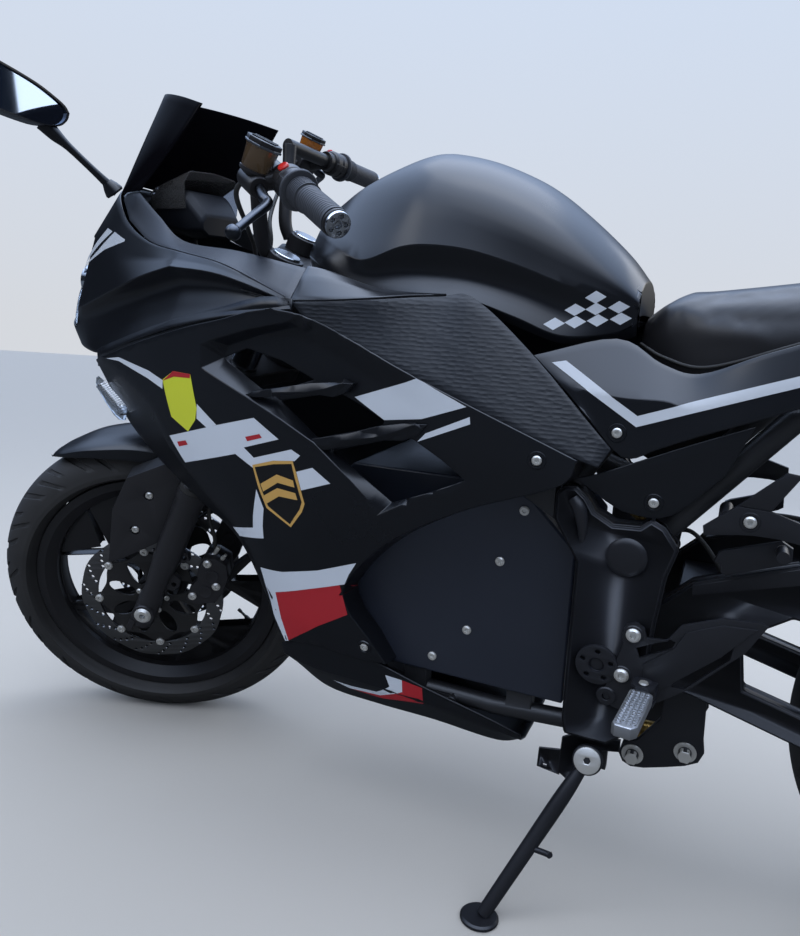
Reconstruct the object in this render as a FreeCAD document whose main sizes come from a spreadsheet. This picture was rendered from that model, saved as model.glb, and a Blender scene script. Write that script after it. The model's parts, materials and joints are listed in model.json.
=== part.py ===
import FreeCAD, Part
import Sketcher
import math
import os
from types import SimpleNamespace
from FreeCAD import Placement, Rotation, Vector

# A full-size electric sport motorcycle, in millimetres, leaning on its side stand.
# It is drawn upright in its own chassis frame: X runs rearward from the front axle, the left side
# is at -Y, Z is up from the ground. One placement then leans it over, and a second one turns
# what steers to the left stop.

doc = FreeCAD.newDocument("sport_bike")
sheet = doc.addObject("Spreadsheet::Sheet", "sizes")

SIZES = [
    ("wheelbase", 1400, "front axle to rear axle"),
    ("rake", 26, "steering axis from the vertical, degrees"),
    ("trail", 92, "steering axis at the ground, ahead of the front contact"),
    ("lean", 6.5, "lean to the left on the stand, degrees"),
    ("steer_lock", 26, "steering stop each way, degrees"),
    ("front_tyre_radius", 293, "front tyre, outside"),
    ("front_tyre_width", 110, "front tyre, outside"),
    ("rear_tyre_radius", 314, "rear tyre, outside"),
    ("rear_tyre_width", 140, "rear tyre, outside"),
    ("flange_radius", 226, "rim flange of both wheels"),
    ("front_rim_width", 76, "front rim between flange outsides"),
    ("rear_rim_width", 102, "rear rim between flange outsides"),
    ("rim_wall", 5, "barrel wall of both rims"),
    ("web_width", 24, "thickness of the cast spokes"),
    ("front_hub_radius", 36, "front hub barrel"),
    ("front_hub_width", 116, "front hub between its bearing faces"),
    ("motor_radius", 122, "hub motor case"),
    ("motor_width", 128, "hub motor case"),
    ("motor_rim_width", 60, "rear rim's ring around the motor case"),
    ("axle_radius", 9, "both wheel axles"),
    ("axle_clearance", 0.05, "running clearance of an axle in its hub"),
    ("axle_end_radius", 8, "threaded ends of the rear axle"),
    ("axle_end_length", 16, "threaded ends of the rear axle"),
    ("thread_relief", 1.5, "undercut beside the threads of the rear axle"),
    ("brake_fit", 3, "gap between a disc and its caliper, each side"),
    ("seat_gap", 0.3, "gap between pieces that sit on each other"),
    ("fork_spread", 100, "centre line to fork leg"),
    ("slider_radius", 26, "lower fork leg"),
    ("slider_top", 265, "top of the lower fork leg above the axle"),
    ("tube_radius", 20.5, "fork tube"),
    ("tube_top", 690, "top of the fork tube above the axle"),
    ("yoke_thick", 24, "both yokes"),
    ("lower_yoke", 480, "underside of the lower yoke above the axle"),
    ("upper_yoke", 636, "underside of the upper yoke above the axle"),
    ("stem_radius", 16, "steering stem"),
    ("head_radius", 31, "head tube outside"),
    ("disc_radius", 131, "front brake discs"),
    ("disc_thick", 4, "brake discs"),
    ("disc_offset", 67, "centre line to front brake disc"),
    ("rear_disc_radius", 110, "rear brake disc"),
    ("panel_wall", 3, "moulded body panels"),
    ("screen_wall", 3, "windscreen"),
    ("bar_radius", 11, "handlebar tube"),
    ("grip_radius", 17, "handlebar grip"),
    ("grip_length", 118, "handlebar grip"),
    ("plate_inner", 127, "centre line to inside of pivot plates"),
    ("plate_thick", 36, "pivot plates"),
    ("stay_radius", 6, "stays that carry the body panels"),
    ("frame_tube_radius", 15, "rear frame tubes"),
    ("cradle_radius", 13, "lower frame tubes"),
    ("swingarm_half_width", 112, "centre line to outside of swingarm"),
    ("swingarm_beam", 26, "width of each swingarm beam"),
    ("pivot_pin_radius", 10, "swingarm pivot pin"),
    ("peg_radius", 12, "footpegs"),
    ("peg_length", 106, "footpegs, outboard of their collars"),
    ("peg_collar", 14, "collar between a footpeg and its bracket"),
    ("bracket_thick", 6, "footpeg brackets"),
    ("stand_pin_radius", 7, "side stand pivot pin"),
    ("plate_width", 200, "blank number plate"),
    ("plate_height", 140, "blank number plate"),
]

for row, (alias, value, words) in enumerate(SIZES, 1):
    sheet.set("A%d" % row, words)
    sheet.set("B%d" % row, str(value))
    sheet.setAlias("B%d" % row, alias)
doc.recompute()
d = SimpleNamespace(**{alias: float(getattr(sheet, alias)) for alias, value, words in SIZES})

LEFT, RIGHT = -1, 1
SIDES = (("left", LEFT), ("right", RIGHT))
rake = math.radians(d.rake)
UP = Vector(0, 0, 1)
ACROSS = Vector(0, 1, 0)

# Steering frame: its Z is the steering axis, its X points rearward, its origin is where the axis
# meets the ground. The fork legs stand on it, ahead of the axis by the offset that the trail leaves.
steering = Placement(Vector(-d.trail, 0, 0), Rotation(ACROSS, d.rake))
axle_local = steering.inverse().multVec(Vector(0, 0, d.front_tyre_radius))
leg_x = axle_local.x
axle_z = axle_local.z
turned = steering * Placement(Vector(), Rotation(UP, d.steer_lock)) * steering.inverse()


def lowest(centre, spin, radius, width):
    """Height of a round tyre's lowest point: its tread is an arc of half its width."""
    ring = radius - width / 2
    return centre.z - ring * math.sqrt(1 - spin.z ** 2) - width / 2


def tyre_heights(pitch):
    """Lowest points of both tyres once the bike is pitched, leaned and steered to its stop."""
    tilt = Placement(Vector(), Rotation(Vector(1, 0, 0), d.lean) * Rotation(ACROSS, pitch))
    front = tilt * turned
    front_low = lowest(front.multVec(Vector(0, 0, d.front_tyre_radius)),
                       front.Rotation.multVec(ACROSS), d.front_tyre_radius, d.front_tyre_width)
    rear_low = lowest(tilt.multVec(Vector(d.wheelbase, 0, d.rear_tyre_radius)),
                      tilt.Rotation.multVec(ACROSS), d.rear_tyre_radius, d.rear_tyre_width)
    return front_low, rear_low, tilt


# The pitch that puts both tyres on the ground, found by halving: more pitch lowers the rear tyre.
low_pitch, high_pitch = -5.0, 5.0
for step in range(50):
    pitch = (low_pitch + high_pitch) / 2
    front_low, rear_low, tilt = tyre_heights(pitch)
    if front_low < rear_low:
        low_pitch = pitch
    else:
        high_pitch = pitch
standing = Placement(Vector(0, 0, -front_low), Rotation()) * tilt

nodes = []


def keep(piece, label, at=Placement(), steered=False):
    """Name a finished piece and note where it belongs; it is placed once all are made."""
    piece.Label = label
    nodes.append((piece, at, steered))
    return piece


def bind(piece, **cells):
    """Tie properties to cells of the sheet, or to sums of them."""
    for prop, words in cells.items():
        piece.setExpression(prop, words)
    return piece


def feature(name, shape):
    piece = doc.addObject("Part::Feature", name)
    piece.Shape = shape if shape.Placement.isIdentity() else Part.makeCompound([shape])
    return piece


def cylinder(name, start, direction, radius, length):
    """A rod from a point along a direction. Radius and length are cell sums."""
    rod = doc.addObject("Part::Cylinder", name)
    rod.Placement = Placement(start, Rotation(UP, direction))
    return bind(rod, Radius=radius, Height=length)


def fuse(name, pieces):
    whole = doc.addObject("Part::MultiFuse", name)
    whole.Shapes = pieces
    whole.Refine = False
    return whole


def cut(name, base, tool):
    rest = doc.addObject("Part::Cut", name)
    rest.Base = base
    rest.Tool = tool
    rest.Refine = False
    return rest


def sided(side, x, y, z):
    """A point on one side of the bike, y being its distance off the centre line."""
    return Vector(x, side * y, z)


def rod_shape(start, end, radius):
    """A plain round rod between two points."""
    run = end - start
    return Part.makeCylinder(radius, run.Length, start, run)


def stay(start, towards, radius, target):
    """A rod from a point towards another piece, ending a seat's gap short of it."""
    towards.normalize()
    length = 4.0
    for step in range(20):
        rod = rod_shape(start, start + towards * length, radius)
        gap = rod.distToShape(target)[0] - d.seat_gap
        if gap < d.seat_gap / 2:
            break
        length += gap
    return rod


def settle(shape, towards, target):
    """Move a shape towards another piece until it lies a seat's gap away."""
    towards.normalize()
    for step in range(20):
        gap = shape.distToShape(target)[0] - d.seat_gap
        if gap < d.seat_gap / 4:
            break
        shape.translate(towards * gap)
    return shape


def pipe_shape(points, radius):
    """A bent rod: straight runs with a ball at each bend."""
    shape = rod_shape(points[0], points[1], radius)
    for a, b in zip(points[1:], points[2:]):
        shape = shape.fuse([Part.makeSphere(radius, a), rod_shape(a, b, radius)])
    return shape.removeSplitter()


def prism_shape(outline, low_y, high_y):
    """An (x, z) outline standing between two distances across the bike."""
    points = [Vector(x, low_y, z) for x, z in outline]
    face = Part.Face(Part.makePolygon(points + points[:1]))
    return face.extrude(Vector(0, high_y - low_y, 0))


def box_between(low, high):
    span = high - low
    return Part.makeBox(span.x, span.y, span.z, low)


def side_prism(side, outline, inner, outer):
    """A prism on one side of the bike, from its inner to its outer distance off the centre."""
    low, high = sorted((side * inner, side * outer))
    return prism_shape(outline, low, high)


def triangles(points):
    """Two triangles over four corners, leaving out any with no area."""
    a, b, c, e = points
    faces = []
    for trio in ((a, b, c), (a, c, e)):
        if (trio[1] - trio[0]).cross(trio[2] - trio[0]).Length > 1e-3:
            faces.append(Part.Face(Part.makePolygon(list(trio) + [trio[0]])))
    return faces


def close(faces):
    solid = Part.Solid(Part.Shell(faces))
    if solid.Volume < 0:
        solid.reverse()
    return solid


def panel(grid, wall, inset=0.0, open_cells=(), side=LEFT):
    """A moulded panel: a grid of outside points given a wall. The grid's rows run down and its
    columns run rearward on the left side; the right side is its mirror image."""
    rows, cols = len(grid), len(grid[0])
    cells = [(r, c) for r in range(rows - 1) for c in range(cols - 1) if (r, c) not in open_cells]
    normals = {}
    for r, c in cells:
        a, b, e, f = grid[r][c], grid[r][c + 1], grid[r + 1][c + 1], grid[r + 1][c]
        normal = (e - a).cross(f - b)
        normal.normalize()
        for key in ((r, c), (r, c + 1), (r + 1, c + 1), (r + 1, c)):
            normals[key] = normals.get(key, Vector()) + normal
    outer, inner = {}, {}
    for key, normal in normals.items():
        normal.normalize()
        point = grid[key[0]][key[1]]
        outer[key] = point + normal * inset
        inner[key] = point + normal * (inset + wall)
    edges = {}
    faces = []
    for r, c in cells:
        ring = [(r, c), (r, c + 1), (r + 1, c + 1), (r + 1, c)]
        faces += triangles([outer[k] for k in ring])
        faces += triangles([inner[k] for k in ring])
        for a, b in zip(ring, ring[1:] + ring[:1]):
            edges[frozenset((a, b))] = edges.get(frozenset((a, b)), 0) + 1
    for edge, uses in edges.items():
        if uses == 1:
            a, b = tuple(edge)
            faces += triangles([outer[a], outer[b], inner[b], inner[a]])
    solid = close(faces)
    if side == RIGHT:
        solid = solid.mirror(Vector(), ACROSS)
    return solid


def both_sides(name, grid):
    """A pair of like panels, one on each side of the bike, as one node."""
    return feature(name, Part.makeCompound([panel(grid, d.panel_wall, side=side) for label, side in SIDES]))


def blend(rows, steps):
    """More rows between the given ones, on a smooth curve through them."""
    out = []
    last = len(rows) - 1
    for i in range(last):
        before, a, b, after = rows[max(i - 1, 0)], rows[i], rows[i + 1], rows[min(i + 2, last)]
        for k in range(steps):
            u = k / steps
            out.append([(p * (-u + 2 * u ** 2 - u ** 3) + q * (2 - 5 * u ** 2 + 3 * u ** 3)
                         + r * (u + 4 * u ** 2 - 3 * u ** 3) + s * (u ** 3 - u ** 2)) * 0.5
                        for p, q, r, s in zip(before, a, b, after)])
    out.append(rows[-1])
    return out


def points(table):
    return [[Vector(*p) for p in row] for row in table]


def turn_grid(grid):
    return [list(col) for col in zip(*grid)]


def moulding(loops):
    """A closed solid through a row of closed loops, with a flat fan over each end."""
    faces = []
    for a, b in zip(loops, loops[1:]):
        for i in range(len(a)):
            j = (i + 1) % len(a)
            faces += triangles([a[i], a[j], b[j], b[i]])
    for loop in (loops[0], loops[-1]):
        middle = sum(loop, Vector()) * (1 / len(loop))
        for i in range(len(loop)):
            j = (i + 1) % len(loop)
            faces += triangles([loop[i], loop[j], middle, middle])[:1]
    return close(faces)


def centred_loop(x, half):
    """A loop across the bike at x, mirrored from (half width, height) points, top to bottom."""
    near = [Vector(x, -y, z) for y, z in half]
    far = [Vector(x, y, z) for y, z in reversed(half) if y > 0]
    return near + far


# Sketch and body helpers for the turned and flat pieces.

def new_body(name):
    return doc.addObject("PartDesign::Body", name)


def plane_of(body, role):
    return [f for f in body.Origin.OriginFeatures if f.Role == role][0]


def sketch_on(body, name, role, loops):
    """A sketch of closed loops of straight lines on one of the body's own planes."""
    sketch = body.newObject("Sketcher::SketchObject", name)
    sketch.AttachmentSupport = (plane_of(body, role), [""])
    sketch.MapMode = "FlatFace"
    for loop in loops:
        first = sketch.GeometryCount
        count = len(loop)
        for (x1, y1), (x2, y2) in zip(loop, loop[1:] + loop[:1]):
            sketch.addGeometry(Part.LineSegment(Vector(x1, y1, 0), Vector(x2, y2, 0)), False)
        for i in range(count):
            sketch.addConstraint(Sketcher.Constraint("Coincident", first + i, 2, first + (i + 1) % count, 1))
    return sketch


def revolve(body, name, profile):
    """Turn a closed (radius, across) profile about the wheel's axle, which is the body's Z."""
    sketch = sketch_on(body, name + "_profile", "XZ_Plane", [profile])
    turn = body.newObject("PartDesign::Revolution", name)
    turn.Profile = sketch
    turn.ReferenceAxis = (sketch, ["V_Axis"])
    turn.Angle = 360
    doc.recompute()
    return turn


def wheel_place(x, z):
    """A wheel body's Z lies across the bike, pointing right."""
    return Placement(Vector(x, 0, z), Rotation(Vector(1, 0, 0), -90))


front_place = wheel_place(0, d.front_tyre_radius)
rear_place = wheel_place(d.wheelbase, d.rear_tyre_radius)


# Tyres: round tread, straight sidewalls to the bead, hollow inside.

def tyre(label, radius, width, rim_width, place, steered):
    body = new_body(label)
    crown = width / 2
    ring = radius - crown
    wall = crown * 0.14
    bead = rim_width / 2 - d.rim_wall - d.seat_gap
    seat = d.flange_radius - 10 + d.seat_gap
    sketch = body.newObject("Sketcher::SketchObject", label + "_section")
    sketch.AttachmentSupport = (plane_of(body, "XZ_Plane"), [""])
    sketch.MapMode = "FlatFace"
    tread = Part.Arc(Vector(ring, crown, 0), Vector(radius, 0, 0), Vector(ring, -crown, 0))
    inside = crown - wall
    lining = Part.Arc(Vector(ring, -inside, 0), Vector(radius - wall, 0, 0), Vector(ring, inside, 0))
    sketch.addGeometry(tread, False)
    outline = [(ring, -crown), (d.flange_radius + 2, -bead - 2), (d.flange_radius + 0.6, -bead), (seat, -bead),
               (seat, wall - bead), (seat + 13, wall - bead), (ring, wall - crown)]
    for a, b in zip(outline, outline[1:]):
        sketch.addGeometry(Part.LineSegment(Vector(*a, 0), Vector(*b, 0)), False)
    sketch.addGeometry(lining, False)
    for a, b in zip(outline[::-1], outline[::-1][1:]):
        sketch.addGeometry(Part.LineSegment(Vector(a[0], -a[1], 0), Vector(b[0], -b[1], 0)), False)
    turn = body.newObject("PartDesign::Revolution", label + "_turn")
    turn.Profile = sketch
    turn.ReferenceAxis = (sketch, ["V_Axis"])
    turn.Angle = 360
    return keep(body, label, place, steered)


tyre("front_tyre", d.front_tyre_radius, d.front_tyre_width, d.front_rim_width, front_place, True)
tyre("rear_tyre", d.rear_tyre_radius, d.rear_tyre_width, d.rear_rim_width, rear_place, False)


# Cast rims: a barrel with two flanges, five forked spokes and a hub, cut from one turned blank.

def spoke_windows(inner, outer, count):
    """Outlines of the openings by one spoke: a large one between spokes, a small one in its fork."""
    step = 2 * math.pi / count
    stem, arm, fork = 13, 11, inner + (outer - inner) * 0.42

    def at(radius, angle):
        return (radius * math.cos(angle), radius * math.sin(angle))

    tip = step * 0.27
    large = [at(inner, stem / inner + 0.02), at(fork, stem / fork + 0.06)]
    large += [at(outer, tip + arm / outer), at(outer, step / 2), at(outer, step - tip - arm / outer)]
    large += [at(fork, step - stem / fork - 0.06), at(inner, step - stem / inner - 0.02), at(inner, step / 2)]
    small = [at(fork + 14, 0), at(outer, tip - arm / outer), at(outer, 0), at(outer, arm / outer - tip)]
    return [large, small]


def rim(label, width, hub_radius, hub_width, bore, place, steered):
    body = new_body(label)
    out = width / 2
    top = d.flange_radius
    seat = top - 10
    drop = top - 27
    wall = d.rim_wall
    web = d.web_width / 2
    profile = [(bore, -hub_width / 2), (hub_radius, -hub_width / 2), (hub_radius, -web), (drop - wall, -web)]
    profile += [(drop - wall, wall - out + 10), (seat - wall, -out), (top, -out), (top, wall - out)]
    profile += [(seat, wall - out), (seat, 24 - out), (drop, 32 - out)]
    profile += [(r, -y) for r, y in reversed(profile)]
    revolve(body, label + "_blank", profile)
    outlines = spoke_windows(hub_radius + 14, drop - wall - 3, 5)
    windows = sketch_on(body, label + "_windows", "XY_Plane", outlines)
    pocket = body.newObject("PartDesign::Pocket", label + "_pocket")
    pocket.Profile = windows
    pocket.Midplane = True
    bind(pocket, Length="sizes.web_width * 2")
    pattern = body.newObject("PartDesign::PolarPattern", label + "_spokes")
    pattern.Originals = [pocket]
    pattern.Axis = (windows, ["N_Axis"])
    pattern.Angle = 360
    pattern.Occurrences = 5
    body.Tip = pattern
    doc.recompute()
    return keep(body, label, place, steered)


axle_bore = d.axle_radius + d.axle_clearance
rim("front_rim", d.front_rim_width, d.front_hub_radius, d.front_hub_width, axle_bore, front_place, True)
rim("rear_rim", d.rear_rim_width, d.motor_radius + 12, d.motor_rim_width, d.motor_radius + d.seat_gap,
    rear_place, False)


# Hub motor: a closed drum with a rounded cover each side, in the middle of the rear rim.

motor = new_body("hub_motor")
half, big = d.motor_width / 2, d.motor_radius
revolve(motor, "hub_motor_turn", [(axle_bore, -half), (40, -half), (46, -half + 12), (big - 22, -half + 20),
                                  (big, -half + 40), (big, half - 40), (big - 22, half - 20),
                                  (46, half - 12), (40, half), (axle_bore, half)])
keep(motor, "hub_motor", rear_place)


# Brake discs: a drilled ring on a spider, bolted to the hub's end.

def disc_shape(radius, ring, hub, thick, arms):
    """One disc about Z: braking ring, inner spider ring and arms, as one piece."""
    band = Part.makeCylinder(radius, thick, Vector(0, 0, -thick / 2)).cut(
        Part.makeCylinder(radius - ring, thick, Vector(0, 0, -thick / 2)))
    middle = Part.makeCylinder(hub + 14, thick, Vector(0, 0, -thick / 2)).cut(
        Part.makeCylinder(hub, thick, Vector(0, 0, -thick / 2)))
    spider = [middle]
    for i in range(arms):
        arm = Part.makeBox(radius - ring - hub, 16, thick, Vector(hub + 6, -8, -thick / 2))
        arm.rotate(Vector(), UP, 360 / arms * i)
        spider.append(arm)
    whole = band.fuse(spider)
    return whole.removeSplitter()


disc_hub = d.front_hub_radius - 6
spacer = d.disc_offset - d.disc_thick / 2 - d.front_hub_width / 2 - d.seat_gap
DISC_BORE = disc_hub - 12
front_discs = []
for name, side in SIDES:
    one = disc_shape(d.disc_radius, 33, DISC_BORE, d.disc_thick, 8)
    sleeve_at, sleeve_way = Vector(0, 0, -side * d.disc_thick / 2), Vector(0, 0, -side)
    sleeve = Part.makeCylinder(disc_hub, spacer, sleeve_at, sleeve_way)
    one = one.fuse(sleeve.cut(Part.makeCylinder(DISC_BORE, spacer, sleeve_at, sleeve_way)))
    one.translate(Vector(0, 0, side * d.disc_offset))
    front_discs.append(one)
keep(feature("front_discs", Part.makeCompound(front_discs)), "front_discs", front_place, True)

rear_disc_y = d.motor_width / 2 + 10
rear_disc = disc_shape(d.rear_disc_radius, 34, 24, d.disc_thick, 6)
hub_ring = Part.makeCylinder(38, 10 - d.disc_thick / 2 - d.seat_gap, UP * (-d.disc_thick / 2), -UP)
rear_disc = rear_disc.fuse(hub_ring.cut(Part.makeCylinder(24, 20, Vector(0, 0, -20))))
rear_disc.translate(Vector(0, 0, rear_disc_y))
keep(feature("rear_disc", rear_disc), "rear_disc", rear_place)


# Axles: the front one is clamped in the fork legs, the rear one in the swingarm's ends.

front_axle = cylinder("front_axle", Vector(0, 0, 0), UP, "sizes.axle_radius", "2 * (sizes.fork_spread + 22)")
keep(front_axle, "front_axle", front_place * Placement(Vector(0, 0, -d.fork_spread - 22), Rotation()), True)
axle_rods = []
for name, side in SIDES:
    half_shaft = cylinder("half_shaft_" + name, Vector(), UP * side,
                          "sizes.axle_radius", "sizes.swingarm_half_width")
    relief = cylinder("thread_relief_" + name, Vector(), UP * side, "sizes.axle_end_radius - 0.5",
                      "sizes.swingarm_half_width + sizes.thread_relief")
    thread = cylinder("axle_thread_" + name, Vector(0, 0, side * (d.swingarm_half_width + d.thread_relief)),
                      UP * side, "sizes.axle_end_radius", "sizes.axle_end_length")
    axle_rods += [half_shaft, relief, thread]
keep(fuse("rear_axle", axle_rods), "rear_axle", rear_place)


# Fork: two legs, each a dark slider under a ground tube, held in two yokes on the steering stem.

for name, side in SIDES:
    y = side * d.fork_spread
    slider = cylinder("slider_" + name, Vector(leg_x, y, axle_z - 34), UP,
                      "sizes.slider_radius", "sizes.slider_top + 34")
    tube = cylinder("fork_tube_" + name, Vector(leg_x, y, axle_z + d.slider_top - 60), UP,
                    "sizes.tube_radius", "sizes.tube_top - sizes.slider_top + 60")
    bore = cylinder("fork_bore_" + name, Vector(leg_x, y - 40, axle_z), ACROSS,
                    "sizes.axle_radius + sizes.seat_gap", "80")
    lug = doc.addObject("Part::Box", "caliper_lug_" + name)
    lug.Length, lug.Width, lug.Height = 40, 12, 92
    lug.Placement = Placement(Vector(leg_x + 12, y - 6 - side * 10, axle_z + 48), Rotation())
    leg = fuse("leg_solid_" + name, [slider, tube, lug])
    keep(cut("fork_leg_" + name, leg, bore), "fork_leg_" + name, steering, True)


def yoke_shape(low):
    """A yoke: one plate around both fork tubes and the stem."""
    lobe = d.tube_radius + 13
    outline = []
    for x, y, r in ((leg_x, d.fork_spread, lobe), (leg_x, -d.fork_spread, lobe), (0, 0, d.head_radius + 4)):
        outline.append(Part.makeCylinder(r, d.yoke_thick, Vector(x, y, low)))
    half = [(leg_x - lobe, d.fork_spread), (leg_x + 26, d.fork_spread + 18), (22, 26)]
    rim_points = [Vector(x, y, low) for x, y in half] + [Vector(x, -y, low) for x, y in half[::-1]]
    web = Part.makePolygon(rim_points + rim_points[:1])
    plate = Part.Face(web).extrude(Vector(0, 0, d.yoke_thick))
    plate = plate.fuse(outline)
    for side in (LEFT, RIGHT):
        hole_at = Vector(leg_x, side * d.fork_spread, low)
        plate = plate.cut(Part.makeCylinder(d.tube_radius + d.seat_gap, d.yoke_thick, hole_at))
    return plate.removeSplitter()


low_yoke = axle_z + d.lower_yoke
high_yoke = axle_z + d.upper_yoke
stem = Part.makeCylinder(d.stem_radius, high_yoke - low_yoke, Vector(0, 0, low_yoke))
yokes = yoke_shape(low_yoke).fuse([yoke_shape(high_yoke), stem])
keep(feature("fork_yokes", yokes.removeSplitter()), "fork_yokes", steering, True)


# Handlebars: each is a clamp on the fork tube above the yoke, a riser, the bar with its grip and
# end weight, and the brake master cylinder with its round reservoir and lever.

BAR_ABOVE = 136.7
for name, side in SIDES:
    clamp_low = high_yoke + d.yoke_thick + d.seat_gap
    bar_z = clamp_low + BAR_ABOVE
    inner, outer = sided(side, -131, 149, bar_z + 7), sided(side, 13, 354, bar_z)
    along = outer - inner
    along.normalize()
    clamp_at = sided(side, leg_x, d.fork_spread, clamp_low)
    clamp = Part.makeCylinder(d.tube_radius + 6, 26, clamp_at)
    hole = Part.makeCylinder(d.tube_radius + d.seat_gap, 60, clamp_at)
    arm = rod_shape(sided(side, leg_x - 26, d.fork_spread - 2, clamp_low + 13), inner, 12)
    bar = rod_shape(inner - along * 4, outer, d.bar_radius)
    grip_out = outer - along * 4
    grip_in = grip_out - along * d.grip_length
    grip = rod_shape(grip_in, grip_out, d.grip_radius)
    weight = rod_shape(grip_out, outer + along * 6, d.grip_radius - 0.5)
    flange = rod_shape(grip_in - along * 6, grip_in - along, d.grip_radius + 8)
    collar = rod_shape(grip_in - along, grip_in, d.grip_radius - 1)
    perch_at = grip_in - along * 44
    switch = rod_shape(grip_in - along * 40, grip_in - along * 6, 21)
    ahead = Vector(-0.85, 0, -0.53)
    lever_root = perch_at + ahead * 36
    perch = rod_shape(perch_at, lever_root, 13)
    pump = rod_shape(lever_root - along * 26, lever_root + along * 20, 14)
    tip = sided(side, -89, 345, bar_z - 60)
    lever = pipe_shape([lever_root + along * 20, lever_root + along * 52 - UP * 8, tip], 7)
    knob = Part.makeSphere(10, tip)
    pot = Part.makeCylinder(21, 42, perch_at + Vector(-29, 0, 3))
    whole = clamp.cut(hole)
    whole = whole.fuse([arm.cut(hole), Part.makeSphere(13, inner), bar, grip, weight, flange, collar, switch,
                        perch, pump, lever, knob, pot])
    keep(feature("handlebar_" + name, whole.removeSplitter()), "handlebar_" + name, steering, True)


# Front brake calipers: a block behind each fork leg with a slot that the disc runs through.

calipers = []
for name, side in SIDES:
    low = Vector(leg_x + 52 + d.seat_gap, side * d.disc_offset - 28, axle_z + 40)
    block = Part.makeBox(62, 56, 108, low)
    slot_width = d.disc_thick + 2 * d.brake_fit
    slot = Part.makeCylinder(d.disc_radius + 5, slot_width,
                             Vector(leg_x, side * d.disc_offset - slot_width / 2, axle_z), ACROSS)
    calipers.append(block.cut(slot))
keep(feature("front_calipers", Part.makeCompound(calipers)), "front_calipers", steering, True)


# Front mudguard: a moulded strip over the tyre, carried by a plate on the inside of each fork leg.

guard_rows = []
for angle in (-52, -38, -20, 0, 20, 40, 58):
    turn_by = math.radians(angle)
    reach = d.front_tyre_radius + 16
    row = []
    for y, drop in ((-66, 40), (-60, 14), (-34, 2), (0, 0), (34, 2), (60, 14), (66, 40)):
        r = reach - drop
        row.append(Vector(leg_x + r * math.sin(turn_by), y, axle_z + r * math.cos(turn_by)))
    guard_rows.append(row)
guard = panel(blend(guard_rows, 2), d.panel_wall)
guard_edge = d.fork_spread - d.slider_radius - d.seat_gap
for side in (LEFT, RIGHT):
    low, high = sorted((side * 62, side * guard_edge))
    guard = guard.fuse(box_between(Vector(leg_x - 22, low, axle_z + d.front_tyre_radius - 103),
                                   Vector(leg_x + 22, high, axle_z + d.front_tyre_radius - 11)))
keep(feature("front_fender", guard), "front_fender", steering, True)


# Pivot plates: cast plates behind the battery that carry the swingarm and footpeg brackets.

PLATE = [(774, 606), (800, 612), (822, 590), (848, 576), (880, 578), (890, 586), (925, 556), (915, 520),
         (909, 458), (900, 330), (884, 292), (868, 276), (812, 276), (808, 300), (808, 520), (774, 572)]
PIVOT_X, PIVOT_Z = 846, 390
plates = []
for name, side in SIDES:
    plate = side_prism(side, PLATE, d.plate_inner, d.plate_inner + d.plate_thick)
    hole = Part.makeCylinder(d.pivot_pin_radius + d.seat_gap, 400, Vector(PIVOT_X, -200, PIVOT_Z), ACROSS)
    cap = Part.makeCylinder(25, 5, Vector(868, side * (d.plate_inner + d.plate_thick), 537), ACROSS * side)
    plates.append(plate.cut(hole).fuse(cap))
plate_shape = Part.makeCompound(plates)
keep(feature("pivot_plates", plate_shape), "pivot_plates")


# Battery case: one closed block, the bike's heavy mass.

CASE = [(430, 430), (450, 330), (500, 298), (800, 298), (800, 520), (740, 580), (700, 600), (470, 600),
        (430, 560)]
case_half = d.plate_inner - d.seat_gap
keep(feature("battery_case", prism_shape(CASE, -case_half, case_half)), "battery_case")


# Swingarm: two deep beams joined behind the pivot, with an opening in each, and the axle's ends.

beam_in = d.swingarm_half_width - d.swingarm_beam
AXLE_X, AXLE_Z = d.wheelbase, d.rear_tyre_radius
arm_solids = []
for name, side in SIDES:
    outline = [(822, 415), (870, 430), (945, 500), (AXLE_X - 338, 546), (AXLE_X - 270, 520),
               (AXLE_X - 60, AXLE_Z + 38), (AXLE_X + 34, AXLE_Z + 28), (AXLE_X + 34, AXLE_Z - 26),
               (AXLE_X - 60, AXLE_Z - 32), (AXLE_X - 270, 298), (961, 346), (822, 365)]
    window = [(1010, 440), (AXLE_X - 338, 478), (AXLE_X - 288, 470), (AXLE_X - 220, 420), (AXLE_X - 220, 350),
              (AXLE_X - 270, 340), (1020, 370)]
    beam = side_prism(side, outline, beam_in, d.swingarm_half_width)
    arm_solids.append(beam.cut(side_prism(side, window, beam_in, d.swingarm_half_width)))
BRIDGE_LOW = 355
bridge = box_between(Vector(925, -beam_in, BRIDGE_LOW), Vector(975, beam_in, 465))
plate_outer = d.plate_inner + d.plate_thick
pin_end = Vector(PIVOT_X, plate_outer + 3, PIVOT_Z)
pin = rod_shape(Vector(PIVOT_X, -pin_end.y, PIVOT_Z), pin_end, d.pivot_pin_radius)
caps = [Part.makeCylinder(27, 8, sided(side, PIVOT_X, plate_outer + d.seat_gap, PIVOT_Z), ACROSS * side)
        for side in (LEFT, RIGHT)]
axle_hole = Part.makeCylinder(d.axle_radius + d.seat_gap, 400, Vector(AXLE_X, -200, AXLE_Z), ACROSS)
swingarm = arm_solids[0].fuse([arm_solids[1], bridge, pin] + caps).cut(axle_hole)
keep(feature("swingarm", swingarm.removeSplitter()), "swingarm")


# Rear shock and its linkage: the damper stands between the beams on a pair of low link plates.

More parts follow.
